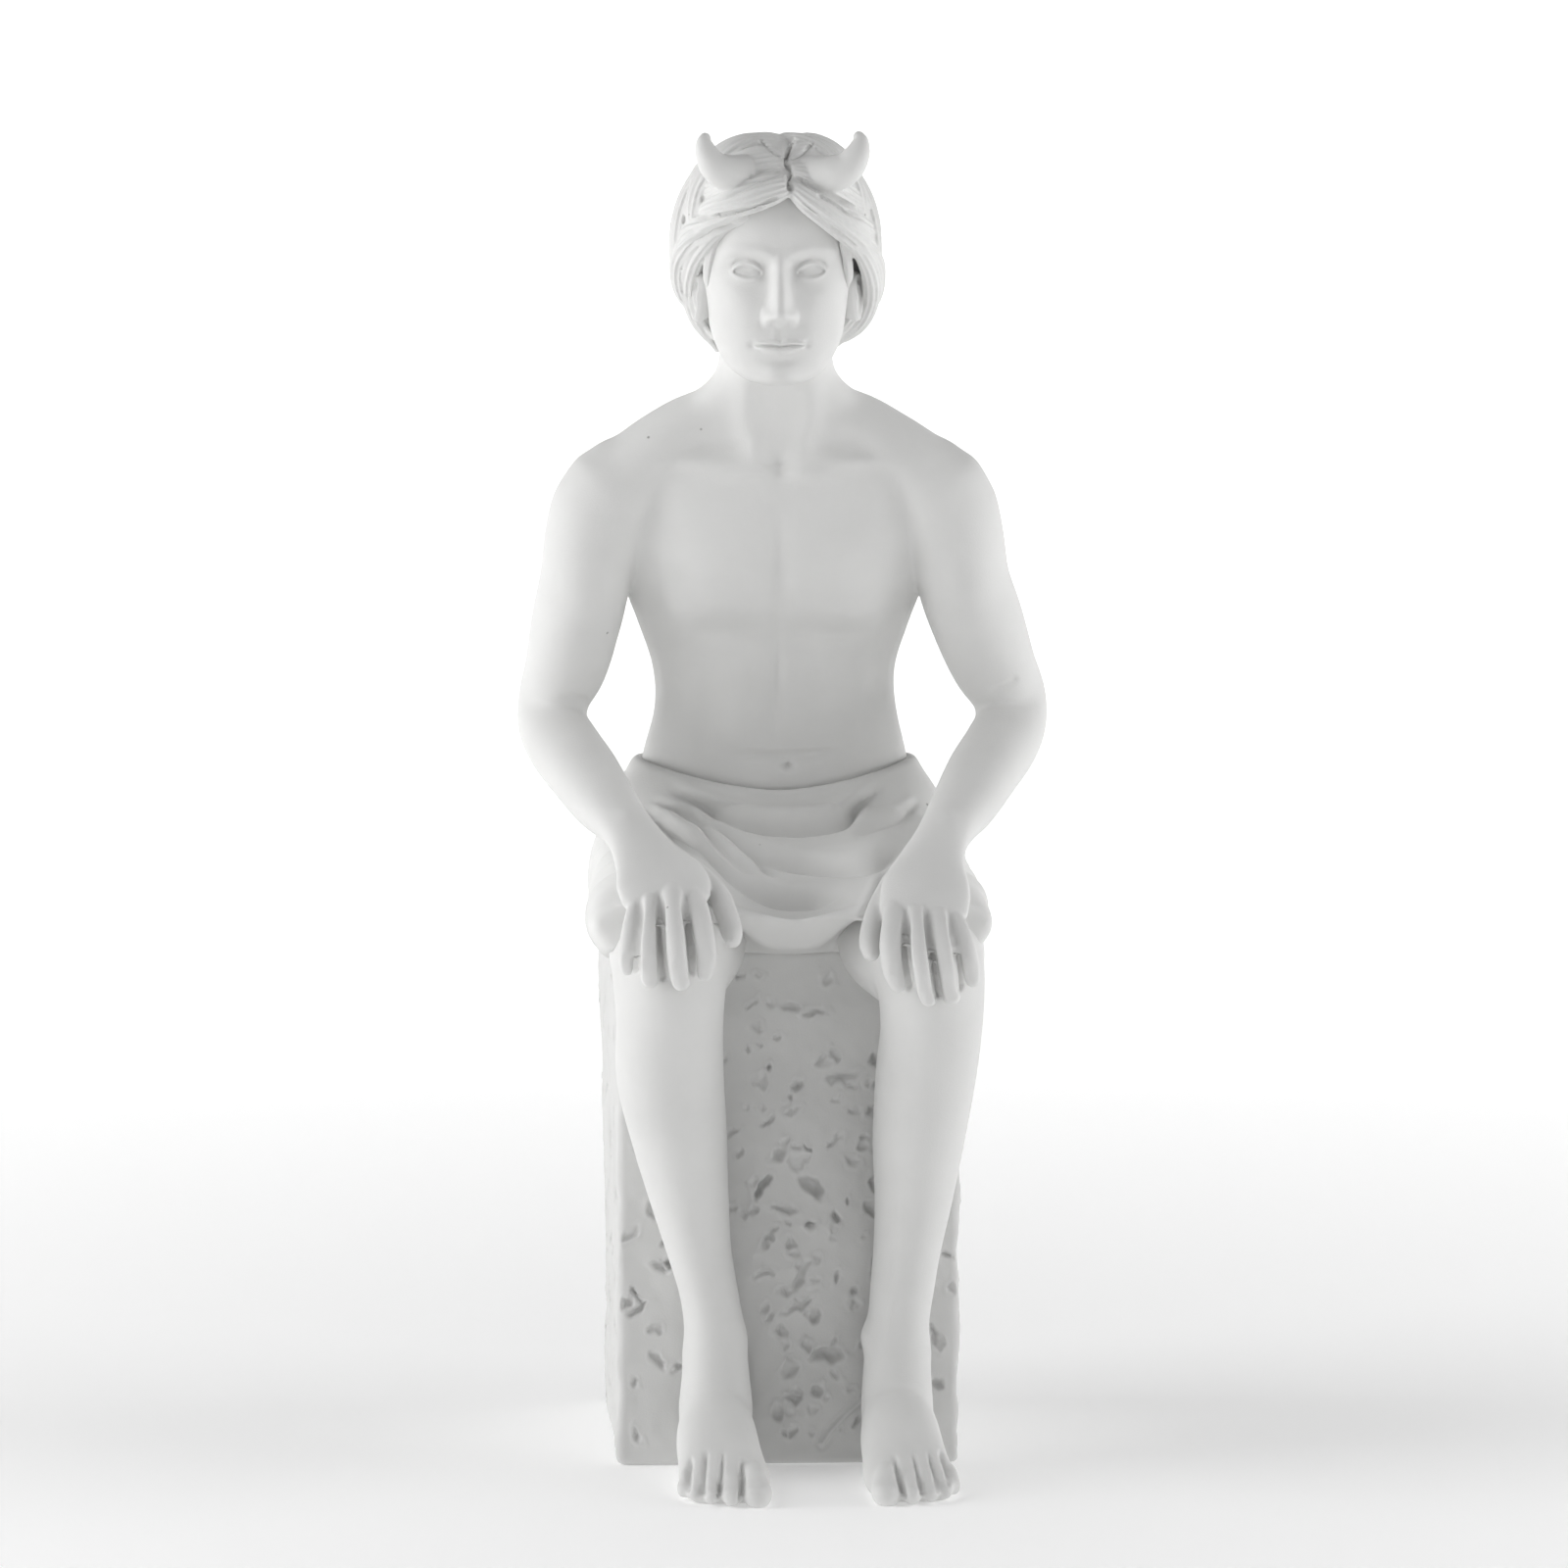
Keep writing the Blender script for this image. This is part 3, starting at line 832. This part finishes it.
def on_egg_front(line, lift):
    """Points of the egg's front half straight behind places seen from the front."""
    line = np.array(line, float)
    if line.shape[1] == 3:
        return line
    x, z = line.T
    size = HAIR_SIZE + lift
    u, w = (x - HAIR_MIDDLE[0]) / size[0], (z - HAIR_MIDDLE[2]) / size[2]
    depth = size[1] * np.sqrt(np.maximum(0.02, 1 - u * u - w * w))
    return np.stack([x, HAIR_MIDDLE[1] - depth, z], 1)


def lock(points, wide, thick, strands, turn):
    """A flat tube on the egg, narrow at its root and tip, grooved into strands."""
    rows = smooth_rows(points, 9)
    t = np.linspace(0, 1, len(rows))
    swell = 0.5 + 0.5 * np.sin(math.pi * np.clip(t * 1.08, 0, 1)) ** 0.6
    swell *= 1 - 0.45 * step(t, 0.75, 1.0)
    rows = np.column_stack([rows, wide * swell, thick * swell])
    ahead = unit(np.gradient(rows[:, :3], axis=0))
    out = unit((rows[:, :3] - HAIR_MIDDLE) / HAIR_SIZE ** 2)
    side = unit(np.cross(ahead, out))
    angle = np.linspace(0, 2 * math.pi, 64, endpoint=False)
    wave = np.cos(strands * angle[None] + turn + 1.6 * t[:, None])
    groove = 1 + 0.10 * (np.sqrt(np.abs(wave)) * np.sign(wave))
    return tube(rows, side, np.cross(side, ahead), 64, groove)


def hair():
    """A cap, rows of strand-grooved locks over it, and the two horns, fused to one skin."""
    shells = [level_shell(HAIR_CAP, squareness=2.0, steps=8)]
    rng = np.random.default_rng(7)
    for line, wide, thick, lift in FRONT_LOCKS:
        strands = round(2 + 3.4 * wide)
        shells.append(lock(on_egg_front(line, lift), wide, thick, strands, rng.uniform(0, 6)))
    share = np.linspace(0, 1, 7)
    for first, last, count, top, low, wide, thick, lift, sway in LOCK_ROWS:
        for end in np.linspace(first, last, count):
            for sign in (-1, 1):
                drift = rng.uniform(-4, 4)
                root = 0.62 * end + 20 + drift
                azimuth = root + (end - root) * share ** 0.8
                swing = np.sin(2.2 * math.pi * share + rng.uniform(0, 1.2))
                azimuth = azimuth + sway * swing * share
                fall = top + (low + rng.uniform(-5, 5) - top) * share
                rise = lift + 1.2 * np.sin(math.pi * share) + 0.8 * share ** 3
                shells.append(lock(on_egg(sign * azimuth, fall, rise),
                                   wide * rng.uniform(0.85, 1.1), thick, 11, rng.uniform(0, 6)))
    shells += [limb(horn, sides=40, hint=(0, 1, 0)) for horn in (RIGHT_HORN, LEFT_HORN)]
    points, quads, edges = fused(shells, HAIR_GRAIN)
    normals = outward(points, quads)
    x, y, z = points.T
    front = step(normals[:, 1], 0.1, -0.2) * step(y, -22, -28)
    push = np.zeros(len(points))
    for line, depth, half in HAIR_GROOVES:
        gap, _, reach = line_gap(x, z, smooth_rows(line, 5))
        push -= (depth * np.exp(-(gap / half) ** 1.6)
                 * step(reach, 0, 0.12) * step(reach, 1, 0.7) * front)
    points = relaxed(points + normals * push[:, None], edges, 0.4, 2)
    finish_piece("hair", mesh_of("hair", points, quads), keep=KEPT_TRIANGLES)


# The cloth over the hips and thighs.

def wrap_shell():
    """Level rings round the hips that end in a rolled rim, lower in front."""
    across, through = oval(160, 2.3)
    rise = np.where(through < 0, np.abs(across) ** 1.5, 1.0)
    rim = RIM_FRONT + (RIM_SIDE - RIM_FRONT) * rise
    table = smooth_rows(WRAP, 10)
    share = np.concatenate([np.linspace(0, 0.97, 60), [0.99, 1.0, 1.0, 0.97]])[:, None]
    grow = np.concatenate([np.zeros(60), [-0.15, -0.7, -1.6, -3.5]])[:, None]
    z = table[0, 2] + (rim - table[0, 2]) * share
    x, y, wide, front, behind = (np.interp(z, table[:, 2], table[:, k]) for k in (0, 1, 3, 4, 5))
    depth = np.where(through < 0, front, behind) + grow
    return closed_shell(np.stack([x + (wide + grow) * across, y + depth * through, z], -1))


def lap_shell():
    """Arched sections over both thighs, dipping between them, from the hips to the hem."""
    table = smooth_rows(LAP, 14)
    y, wide, thigh, between, side_hem = (table[:, k][:, None] for k in range(5))
    turn = np.linspace(0, math.pi, 161)
    across = -np.sign(np.cos(turn)) * np.abs(np.cos(turn)) ** 0.6
    arch = np.sin(turn) ** 0.42
    x = wide * across
    saddle = 0.5 - 0.5 * np.cos(math.pi * np.clip(np.abs(x) / THIGH_MIDDLE, 0, 1))
    z = side_hem + (between + (thigh - between) * saddle - side_hem) * arch
    x = x - (4.5 * np.sign(x) * step(z - side_hem, 9.0, 0.0) ** 2
             * step(np.abs(across), 0.8, 0.95))
    share = np.linspace(1, 0, 82)[1:-1]
    beneath = x[:, :1] + (x[:, -1:] - x[:, :1]) * share
    lift = step(np.abs(beneath), 4.0, 17.0) * step(np.abs(beneath), 40.0, 35.0)
    under = side_hem + (126.5 - side_hem) * lift * step(y, -38, -50)
    x, z = np.hstack([x, beneath]), np.hstack([z, under])
    hem = (-2.0 - 9.5 * np.clip((np.abs(x) - 5) / 15, 0, 1)
           + 3.0 * np.clip((np.abs(x) - 32) / 12, 0, 1))
    y = y + hem * ((table[0, 0] - y) / (table[0, 0] - table[-1, 0])) ** 2
    return closed_shell(np.stack([x, y, z], -1))


def lap_cloth():
    """Wrap and lap fused to one skin, then carved with the valleys and rolls of its folds."""
    sizes = bpy.context.scene.figurine_sizes
    points, quads, edges = fused([wrap_shell(), lap_shell()], 1.1 * sizes.grain)
    x, y, z = points.T
    edge = step(y, -40, -50) + step(np.abs(x), 33, 39) * step(z, 131, 125) + step(z, 116, 113)
    points = relaxed(points, edges, 0.6 * np.clip(edge, 0, 1), 90)
    points = relaxed(points, edges, 0.5, 10)
    normals = outward(points, quads)
    x, y, z = points.T
    front = step(y, 16, 6) * step(normals[:, 2], -0.35, 0.05)
    push = np.zeros(len(points))
    for line, depth, half, roll in VALLEYS:
        gap, above, reach = line_gap(x, z, smooth_rows(line, 5))
        fade = step(reach, 0, 0.22) * step(reach, 1, 0.8)
        push -= 2.1 * depth * np.exp(-(gap / (1.1 * half)) ** 1.35) * fade * front
        push += 1.7 * roll * np.exp(-((gap * above - 2.6 * half) / (1.6 * half)) ** 2) * fade * front
    side = step(np.abs(x), 26, 38) * step(z, 146, 138)
    hang = np.sin(2 * math.pi * (y + 0.55 * (z - 118)) / 12.5 + 1.5 * lumps(points, 18.0, 3))
    push += 0.9 * hang * np.abs(hang) ** 0.3 * side * step(y, -50, -40)
    behind = step(y, 14, 26) * step(z, 118, 126)
    swag = np.sin(2 * math.pi * (z - 7 * (x / 35) ** 2) / 8.2 + 0.8 * lumps(points, 20.0, 5))
    push += 0.8 * swag * behind * step(z, 156, 150)
    points = points + normals * push[:, None]
    points = relaxed(points, edges, 0.3, 3)
    mesh = mesh_of("lap_cloth", points, quads)
    finish_piece("lap_cloth", mesh, keep=KEPT_CLOTH_TRIANGLES)


# The stone block.

def block_outline(half_width, half_depth):
    """Four straight sides sampled evenly, finer in front, each with a quarter round after it."""
    finer, coarser = 0.38, 0.62
    runs = []
    turn = np.linspace(0, math.pi / 2, 9)[:-1]
    for k, (length, pitch) in enumerate(((half_depth, coarser), (half_width, coarser),
                                         (half_depth, coarser), (half_width, finer))):
        along = np.arange(-(length - CORNER), length - CORNER, pitch)
        other = half_width if k % 2 == 0 else half_depth
        straight = np.stack([np.full(len(along), other), along], 1)
        bend = np.stack([other - CORNER + CORNER * np.cos(turn),
                         length - CORNER + CORNER * np.sin(turn)], 1)
        run = np.vstack([straight, bend])
        c, s = round(math.cos(k * math.pi / 2)), round(math.sin(k * math.pi / 2))
        runs.append(run @ np.array([[c, s], [-s, c]]))
    return np.vstack(runs)


def block_profile(top):
    """Share of the outline, drop of its edge and height: underside, round, side, round, top."""
    turn = np.linspace(0, math.pi / 2, 7)
    inner = np.linspace(0.02, 0.96, 52)
    side = np.arange(CORNER, top - CORNER, 0.5)
    rows = [np.stack([inner, 0 * inner, 0 * inner], 1),
            np.stack([1 + 0 * turn, CORNER * (1 - np.sin(turn)),
                      UNDERCUT * CORNER * (1 - np.cos(turn))], 1),
            np.stack([1 + 0 * side, 0 * side, side], 1),
            np.stack([1 + 0 * turn, CORNER * (1 - np.cos(turn)),
                      top - CORNER + CORNER * np.sin(turn)], 1),
            np.stack([inner[::-1], 0 * inner, top + 0 * inner], 1)]
    return np.vstack(rows)


def scattered(rng, count, ranges):
    """Rows of pits, each value drawn evenly from its own range."""
    return [tuple(rng.uniform(low, high) for low, high in ranges) for _ in range(count)]


def pitted(across, up, table):
    """Push of pits: a raised rim e^-((d-1.4)/0.35)^2 round a hollow e^-d^3, d in reaches."""
    total = np.zeros(len(across))
    for pit_x, pit_z, long, wide, angle, depth in table:
        c, s = math.cos(math.radians(angle)), math.sin(math.radians(angle))
        du, dw = across - pit_x, up - pit_z
        d = np.hypot((du * c + dw * s) / long, (dw * c - du * s) / wide)
        total += 0.26 * np.exp(-((d - 1.4) / 0.35) ** 2) - 1.9 * depth * np.exp(-d ** 3)
    return total


def stone_push(points, normals, half_width, half_depth, top):
    """How far the stone's skin moves out: three sizes of lumps, pits on each face, a crack."""
    x, y, z = points.T
    push = 1.1 * (lumps(points, 16.0, 11) - 0.5) + 0.9 * (lumps(points, 6.0, 12) - 0.5)
    push += 0.35 * (lumps(points, 2.6, 13) - 0.5)
    warp_across = 1.6 * (lumps(points, 1.6, 21) - 0.5)
    warp_up = 1.6 * (lumps(points, 1.6, 22) - 0.5)
    rng = np.random.default_rng(5)
    front = normals[:, 1] < -0.6
    faces = [(front, x, FRONT_PITS)]
    for facing, along, span in ((normals[:, 0] < -0.6, y, half_depth),
                                (normals[:, 0] > 0.6, y, half_depth),
                                (normals[:, 1] > 0.6, x, half_width)):
        table = scattered(rng, 80, ((-0.92, 0.92), (3, top - 3), *PIT_RANGES))
        faces.append((facing, along, [(place * span, *pit) for place, *pit in table]))
    outer = [(sign * place, *pit) for sign in (-1, 1)
             for place, *pit in scattered(rng, 40, ((19, 37), (3, 100), *OUTER_PIT_RANGES))]
    dents = scattered(rng, 90, ((-17, 20), (3, 113), *DENT_RANGES))
    faces += [(front, x, outer), (front, x, dents)]
    for facing, along, table in faces:
        chosen = np.flatnonzero(facing)
        push[chosen] += pitted(along[chosen] + warp_across[chosen], z[chosen] + warp_up[chosen],
                               table)
    gap, _, _ = line_gap(x[front], z[front], smooth_rows(CRACK, 5))
    push[front] += 0.6 * np.exp(-(gap / 0.5) ** 2) - 0.35 * np.exp(-((gap - 1.0) / 0.5) ** 2)
    return push * step(z, 0.0, 2.5)


def block():
    """A rounded box: an outline carried up a profile that closes over the top and underside."""
    sizes = bpy.context.scene.figurine_sizes
    scale = CANON / sizes.height
    half_width, half_depth = sizes.block_width / 2 * scale, sizes.block_depth / 2 * scale
    top = sizes.seat_height * scale
    outline = block_outline(half_width, half_depth)
    profile = block_profile(top)
    away = unit(outline / (half_width, half_depth))
    flat = outline * profile[:, None, :1] - away * profile[:, None, 1:2]
    height = np.broadcast_to(profile[:, None, 2:], flat.shape[:2] + (1,))
    points, quads, caps = closed_shell(np.concatenate([flat, height], -1))
    normals = outward(points, quads)
    push = stone_push(points, normals, half_width, half_depth, top)
    lean = step(points[:, 1], 0, half_depth) * step(-points[:, 0], 20, half_width)
    spread = lean * 1.4 * step(points[:, 2], 40, top)
    points = points + normals * push[:, None]
    points[:, 2] = np.maximum(points[:, 2], 0)
    points[:, 0] -= spread
    mesh = mesh_of("block", points, quads, caps)
    finish_piece("block", mesh, keep=KEPT_TRIANGLES, finish=("rough bisque", 0.90))


# Finishes and stage.

RANGE_SOCKETS = ("From Min", "From Max", "To Min", "To Max")
# The floor: radius of its flat part, radius of its bend, heights of its rim, and a hair's breadth
# below the figurine, all in metres.
FLOOR_RADIUS = 2.6
FLOOR_BEND = 0.6
RIM_HEIGHTS = (1.1, 1.6)
FLOOR_DROP = 0.0001
# The lights: place on the figure's left, width, height, and the height they point at.
LIGHT_PLACE = (0.87, -0.2, 0.66)
LIGHT_SIZE = (0.7, 1.1)
LIGHT_AIM = (0.0, 0.0, 0.15)
# The camera: aim and distance in metres, rise and turn in degrees, lens and sensor in mm.
CAMERA_AIM = (0.00135, 0.0, 0.150)
CAMERA_DISTANCE = 2.0
CAMERA_RISE = 5.5
CAMERA_TURN = -3.0
CAMERA_LENS = 200.25
CAMERA_SENSOR = 36.0


def bisque(name, tone):
    """Matt fired clay: near white, with faint mottling, fine grain and sparse pinholes."""
    found = bpy.data.materials.get(name)
    if found:
        return found
    sizes = bpy.context.scene.figurine_sizes
    material = bpy.data.materials.new(name)
    material.use_nodes = True
    nodes, links = material.node_tree.nodes, material.node_tree.links
    shader = nodes["Principled BSDF"]
    shader.inputs["Metallic"].default_value = 0.0
    shader.inputs["Specular IOR Level"].default_value = 0.35
    place = nodes.new("ShaderNodeTexCoord")

    def texture(kind, **values):
        node = nodes.new(kind)
        links.new(place.outputs["Object"], node.inputs["Vector"])
        for key, value in values.items():
            node.inputs[key].default_value = value
        return node

    def span(source, low, high, to_low, to_high):
        node = nodes.new("ShaderNodeMapRange")
        links.new(source, node.inputs["Value"])
        for key, value in zip(RANGE_SOCKETS, (low, high, to_low, to_high)):
            node.inputs[key].default_value = value
        return node.outputs["Result"]

    def maths(operation, a, b):
        node = nodes.new("ShaderNodeMath")
        node.operation = operation
        for socket, value in zip(node.inputs, (a, b)):
            if isinstance(value, float):
                socket.default_value = value
            else:
                links.new(value, socket)
        return node.outputs["Value"]

    cloud = texture("ShaderNodeTexNoise", Scale=45.0, Detail=3.0)
    grain = texture("ShaderNodeTexNoise", Scale=2600.0, Detail=2.0)
    pores = texture("ShaderNodeTexVoronoi", Scale=110.0, Randomness=1.0)
    chosen = maths("GREATER_THAN", span(pores.outputs["Color"], 0.0, 1.0, 0.0, 1.0), 0.78)
    hole = maths("MULTIPLY", span(pores.outputs["Distance"], 0.02, 0.045, 1.0, 0.0), chosen)
    mix = nodes.new("ShaderNodeMix")
    mix.data_type = "RGBA"
    colour = [tone * c for c in sizes.bisque_colour]
    mix.inputs["A"].default_value = (*(0.95 * c for c in colour), 1.0)
    mix.inputs["B"].default_value = (*colour, 1.0)
    links.new(span(cloud.outputs["Fac"], 0.35, 0.65, 0.0, 1.0), mix.inputs["Factor"])
    dark = nodes.new("ShaderNodeMix")
    dark.data_type = "RGBA"
    dark.inputs["B"].default_value = (0.30, 0.29, 0.28, 1.0)
    links.new(mix.outputs["Result"], dark.inputs["A"])
    links.new(maths("MULTIPLY", hole, 0.8), dark.inputs["Factor"])
    links.new(dark.outputs["Result"], shader.inputs["Base Color"])
    links.new(span(cloud.outputs["Fac"], 0.3, 0.7, 0.62, 0.74), shader.inputs["Roughness"])
    bump = nodes.new("ShaderNodeBump")
    bump.inputs["Distance"].default_value = 0.0001
    bump.inputs["Strength"].default_value = 0.35
    height = maths("SUBTRACT", grain.outputs["Fac"], maths("MULTIPLY", hole, 3.0))
    links.new(height, bump.inputs["Height"])
    links.new(bump.outputs["Normal"], shader.inputs["Normal"])
    return material


def studio_white(name, colour, near_glow, far_glow, front_share):
    """Matt white with its own glow, which grows with distance and is weaker in front."""
    material = bpy.data.materials.new(name)
    material.use_nodes = True
    shader = material.node_tree.nodes["Principled BSDF"]
    shader.inputs["Base Color"].default_value = (*colour, 1.0)
    shader.inputs["Roughness"].default_value = 0.9
    shader.inputs["Specular IOR Level"].default_value = 0.1
    shader.inputs["Emission Color"].default_value = (1.0, 1.0, 1.0, 1.0)
    nodes, links = material.node_tree.nodes, material.node_tree.links
    place = nodes.new("ShaderNodeTexCoord")
    parts = nodes.new("ShaderNodeSeparateXYZ")
    away = nodes.new("ShaderNodeVectorMath")
    away.operation = "LENGTH"
    links.new(place.outputs["Object"], parts.inputs["Vector"])
    links.new(place.outputs["Object"], away.inputs[0])
    product = nodes.new("ShaderNodeMath")
    product.operation = "MULTIPLY"
    for socket, source, span in ((0, away.outputs["Value"], (0.1, 1.1, near_glow, far_glow)),
                                 (1, parts.outputs["Y"], (-1.6, -0.4, front_share, 1.0))):
        fade = nodes.new("ShaderNodeMapRange")
        for key, value in zip(RANGE_SOCKETS, span):
            fade.inputs[key].default_value = value
        links.new(source, fade.inputs["Value"])
        links.new(fade.outputs["Result"], product.inputs[socket])
    links.new(product.outputs["Value"], shader.inputs["Emission Strength"])
    return material


def floor_mesh():
    """A disc that bends up at its rim by a quarter circle, its middle closed to a point."""
    turn = np.linspace(0, 2 * math.pi, 97)[:-1]
    bend = np.linspace(0.1, math.pi / 2, 12)
    edge = FLOOR_RADIUS + FLOOR_BEND
    radius = np.concatenate([np.linspace(0.05, FLOOR_RADIUS, 24),
                             FLOOR_RADIUS + FLOOR_BEND * np.sin(bend), [edge, edge]])[:, None]
    lift = np.concatenate([np.zeros(24), FLOOR_BEND * (1 - np.cos(bend)), RIM_HEIGHTS])[:, None]
    rings = np.stack([radius * np.cos(turn), radius * np.sin(turn),
                      lift - FLOOR_DROP + 0 * turn], -1)
    rows, columns = rings.shape[:2]
    i, j = np.arange(columns), np.roll(np.arange(columns), -1)
    row = np.arange(rows - 1)[:, None] * columns
    quads = np.stack([row + i, row + j, row + columns + j, row + columns + i], -1)
    middle = np.stack([j, i, np.full(columns, rows * columns)], 1)[:, ::-1]
    points = np.vstack([rings.reshape(-1, 3), (0, 0, -FLOOR_DROP)])
    mesh = mesh_of("floor", points, quads.reshape(-1, 4)[:, ::-1], middle)
    mesh.polygons.foreach_set("use_smooth", np.ones(len(mesh.polygons), bool))
    return mesh


def stage():
    """A pale round floor that curves up at its rim, two soft side lights, and a camera."""
    look = bpy.context.scene.figurine_stage
    mesh = floor_mesh()
    mesh.materials.append(studio_white("studio floor", tuple(look.floor_colour), look.floor_glow,
                                       look.wall_glow, look.front_glow_share))
    made = [bpy.data.objects.new("floor", mesh)]
    for name, side, power in (("left_light", -1, look.left_power),
                              ("right_light", 1, look.right_power)):
        lamp = bpy.data.lights.new(name, "AREA")
        lamp.shape = "RECTANGLE"
        lamp.size, lamp.size_y = LIGHT_SIZE
        lamp.energy = power
        obj = bpy.data.objects.new(name, lamp)
        obj.location = (side * LIGHT_PLACE[0], *LIGHT_PLACE[1:])
        aim = Vector(LIGHT_AIM) - obj.location
        obj.rotation_euler = aim.to_track_quat("-Z", "Y").to_euler()
        made.append(obj)
    camera = bpy.data.cameras.new("camera")
    camera.lens = CAMERA_LENS
    camera.sensor_width = CAMERA_SENSOR
    camera.clip_end = 20.0
    obj = bpy.data.objects.new("camera", camera)
    rise, turn = math.radians(CAMERA_RISE), math.radians(CAMERA_TURN)
    toward = Vector((math.sin(turn) * math.cos(rise), -math.cos(turn) * math.cos(rise),
                     math.sin(rise)))
    obj.location = Vector(CAMERA_AIM) + CAMERA_DISTANCE * toward
    obj.rotation_euler = (-toward).to_track_quat("-Z", "Y").to_euler()
    made.append(obj)
    for item in made:
        bpy.context.collection.objects.link(item)
    scene = bpy.context.scene
    scene.camera = obj
    world = bpy.data.worlds.new("studio air")
    world.use_nodes = True
    background = world.node_tree.nodes["Background"]
    background.inputs["Color"].default_value = (1.0, 1.0, 1.0, 1.0)
    background.inputs["Strength"].default_value = look.air
    scene.world = world
    scene.view_settings.view_transform = "Standard"


# Settings, operators and panel.

class FigurineSizes(bpy.types.PropertyGroup):
    height: bpy.props.FloatProperty(
        name="Overall height", description="From the floor to the horn tips",
        default=CAST_HEIGHT, unit="LENGTH")
    block_width: bpy.props.FloatProperty(
        name="Block width", description="Width of the stone block", default=0.077, unit="LENGTH")
    block_depth: bpy.props.FloatProperty(
        name="Block depth", description="Depth of the stone block", default=0.090, unit="LENGTH")
    seat_height: bpy.props.FloatProperty(
        name="Seat height", description="Height of the block's top", default=0.117, unit="LENGTH")
    grain: bpy.props.FloatProperty(
        name="Clay grain", description="Pitch of the fused skin, in parts", default=0.40)
    bisque_colour: bpy.props.FloatVectorProperty(
        name="Bisque colour", description="Colour of the fired clay", subtype="COLOR",
        default=(0.80, 0.80, 0.79))


class FigurineStage(bpy.types.PropertyGroup):
    floor_colour: bpy.props.FloatVectorProperty(
        name="Floor colour", description="Colour of the studio floor", subtype="COLOR",
        default=(0.87, 0.87, 0.87))
    floor_glow: bpy.props.FloatProperty(
        name="Floor glow", description="Light given off by the floor near the figurine", default=0.26)
    wall_glow: bpy.props.FloatProperty(
        name="Wall glow", description="Light given off by the wall behind", default=0.85)
    front_glow_share: bpy.props.FloatProperty(
        name="Front glow share", description="Share of the wall's glow on the camera's side",
        default=0.14, subtype="FACTOR")
    left_power: bpy.props.FloatProperty(
        name="Left light", description="Power of the light on the figure's right", default=5.5,
        unit="POWER")
    right_power: bpy.props.FloatProperty(
        name="Right light", description="Power of the light on the figure's left", default=3.7,
        unit="POWER")
    air: bpy.props.FloatProperty(
        name="Room light", description="Strength of the even light from all round", default=0.05)


class FIGURINE_OT_youth(bpy.types.Operator):
    """Build the trunk, limbs, hands and feet"""
    bl_idname = "figurine.youth"
    bl_label = "Carve the youth"
    bl_options = {"REGISTER", "UNDO"}

    def execute(self, context):
        youth()
        return {"FINISHED"}


class FIGURINE_OT_head(bpy.types.Operator):
    """Build the face, skull and ears"""
    bl_idname = "figurine.head"
    bl_label = "Carve the head"
    bl_options = {"REGISTER", "UNDO"}

    def execute(self, context):
        head()
        return {"FINISHED"}


class FIGURINE_OT_hair(bpy.types.Operator):
    """Build the locks of hair and the horns"""
    bl_idname = "figurine.hair"
    bl_label = "Carve the hair"
    bl_options = {"REGISTER", "UNDO"}

    def execute(self, context):
        hair()
        return {"FINISHED"}


class FIGURINE_OT_lap_cloth(bpy.types.Operator):
    """Build the cloth over hips and thighs"""
    bl_idname = "figurine.lap_cloth"
    bl_label = "Drape the cloth"
    bl_options = {"REGISTER", "UNDO"}

    def execute(self, context):
        lap_cloth()
        return {"FINISHED"}


class FIGURINE_OT_block(bpy.types.Operator):
    """Build the rough stone block"""
    bl_idname = "figurine.block"
    bl_label = "Cut the block"
    bl_options = {"REGISTER", "UNDO"}

    def execute(self, context):
        block()
        return {"FINISHED"}


class FIGURINE_OT_stage(bpy.types.Operator):
    """Add the floor, lights and camera"""
    bl_idname = "figurine.stage"
    bl_label = "Set the stage"
    bl_options = {"REGISTER", "UNDO"}

    def execute(self, context):
        stage()
        return {"FINISHED"}


OPERATORS = [FIGURINE_OT_youth, FIGURINE_OT_head, FIGURINE_OT_hair, FIGURINE_OT_lap_cloth,
             FIGURINE_OT_block, FIGURINE_OT_stage]


class FIGURINE_PT_panel(bpy.types.Panel):
    bl_label = "Figurine"
    bl_idname = "FIGURINE_PT_panel"
    bl_space_type = "VIEW_3D"
    bl_region_type = "UI"
    bl_category = "Figurine"

    def draw(self, context):
        for made in OPERATORS:
            self.layout.operator(made.bl_idname)


CLASSES = [FigurineSizes, FigurineStage, *OPERATORS, FIGURINE_PT_panel]


def register():
    for made in CLASSES:
        bpy.utils.register_class(made)
    bpy.types.Scene.figurine_sizes = bpy.props.PointerProperty(type=FigurineSizes)
    bpy.types.Scene.figurine_stage = bpy.props.PointerProperty(type=FigurineStage)


def unregister():
    del bpy.types.Scene.figurine_stage
    del bpy.types.Scene.figurine_sizes
    for made in reversed(CLASSES):
        bpy.utils.unregister_class(made)


def main():
    register()
    bpy.ops.figurine.youth()
    bpy.ops.figurine.head()
    bpy.ops.figurine.hair()
    bpy.ops.figurine.lap_cloth()
    bpy.ops.figurine.block()
    bpy.ops.figurine.stage()


if __name__ == "__main__":
    main()
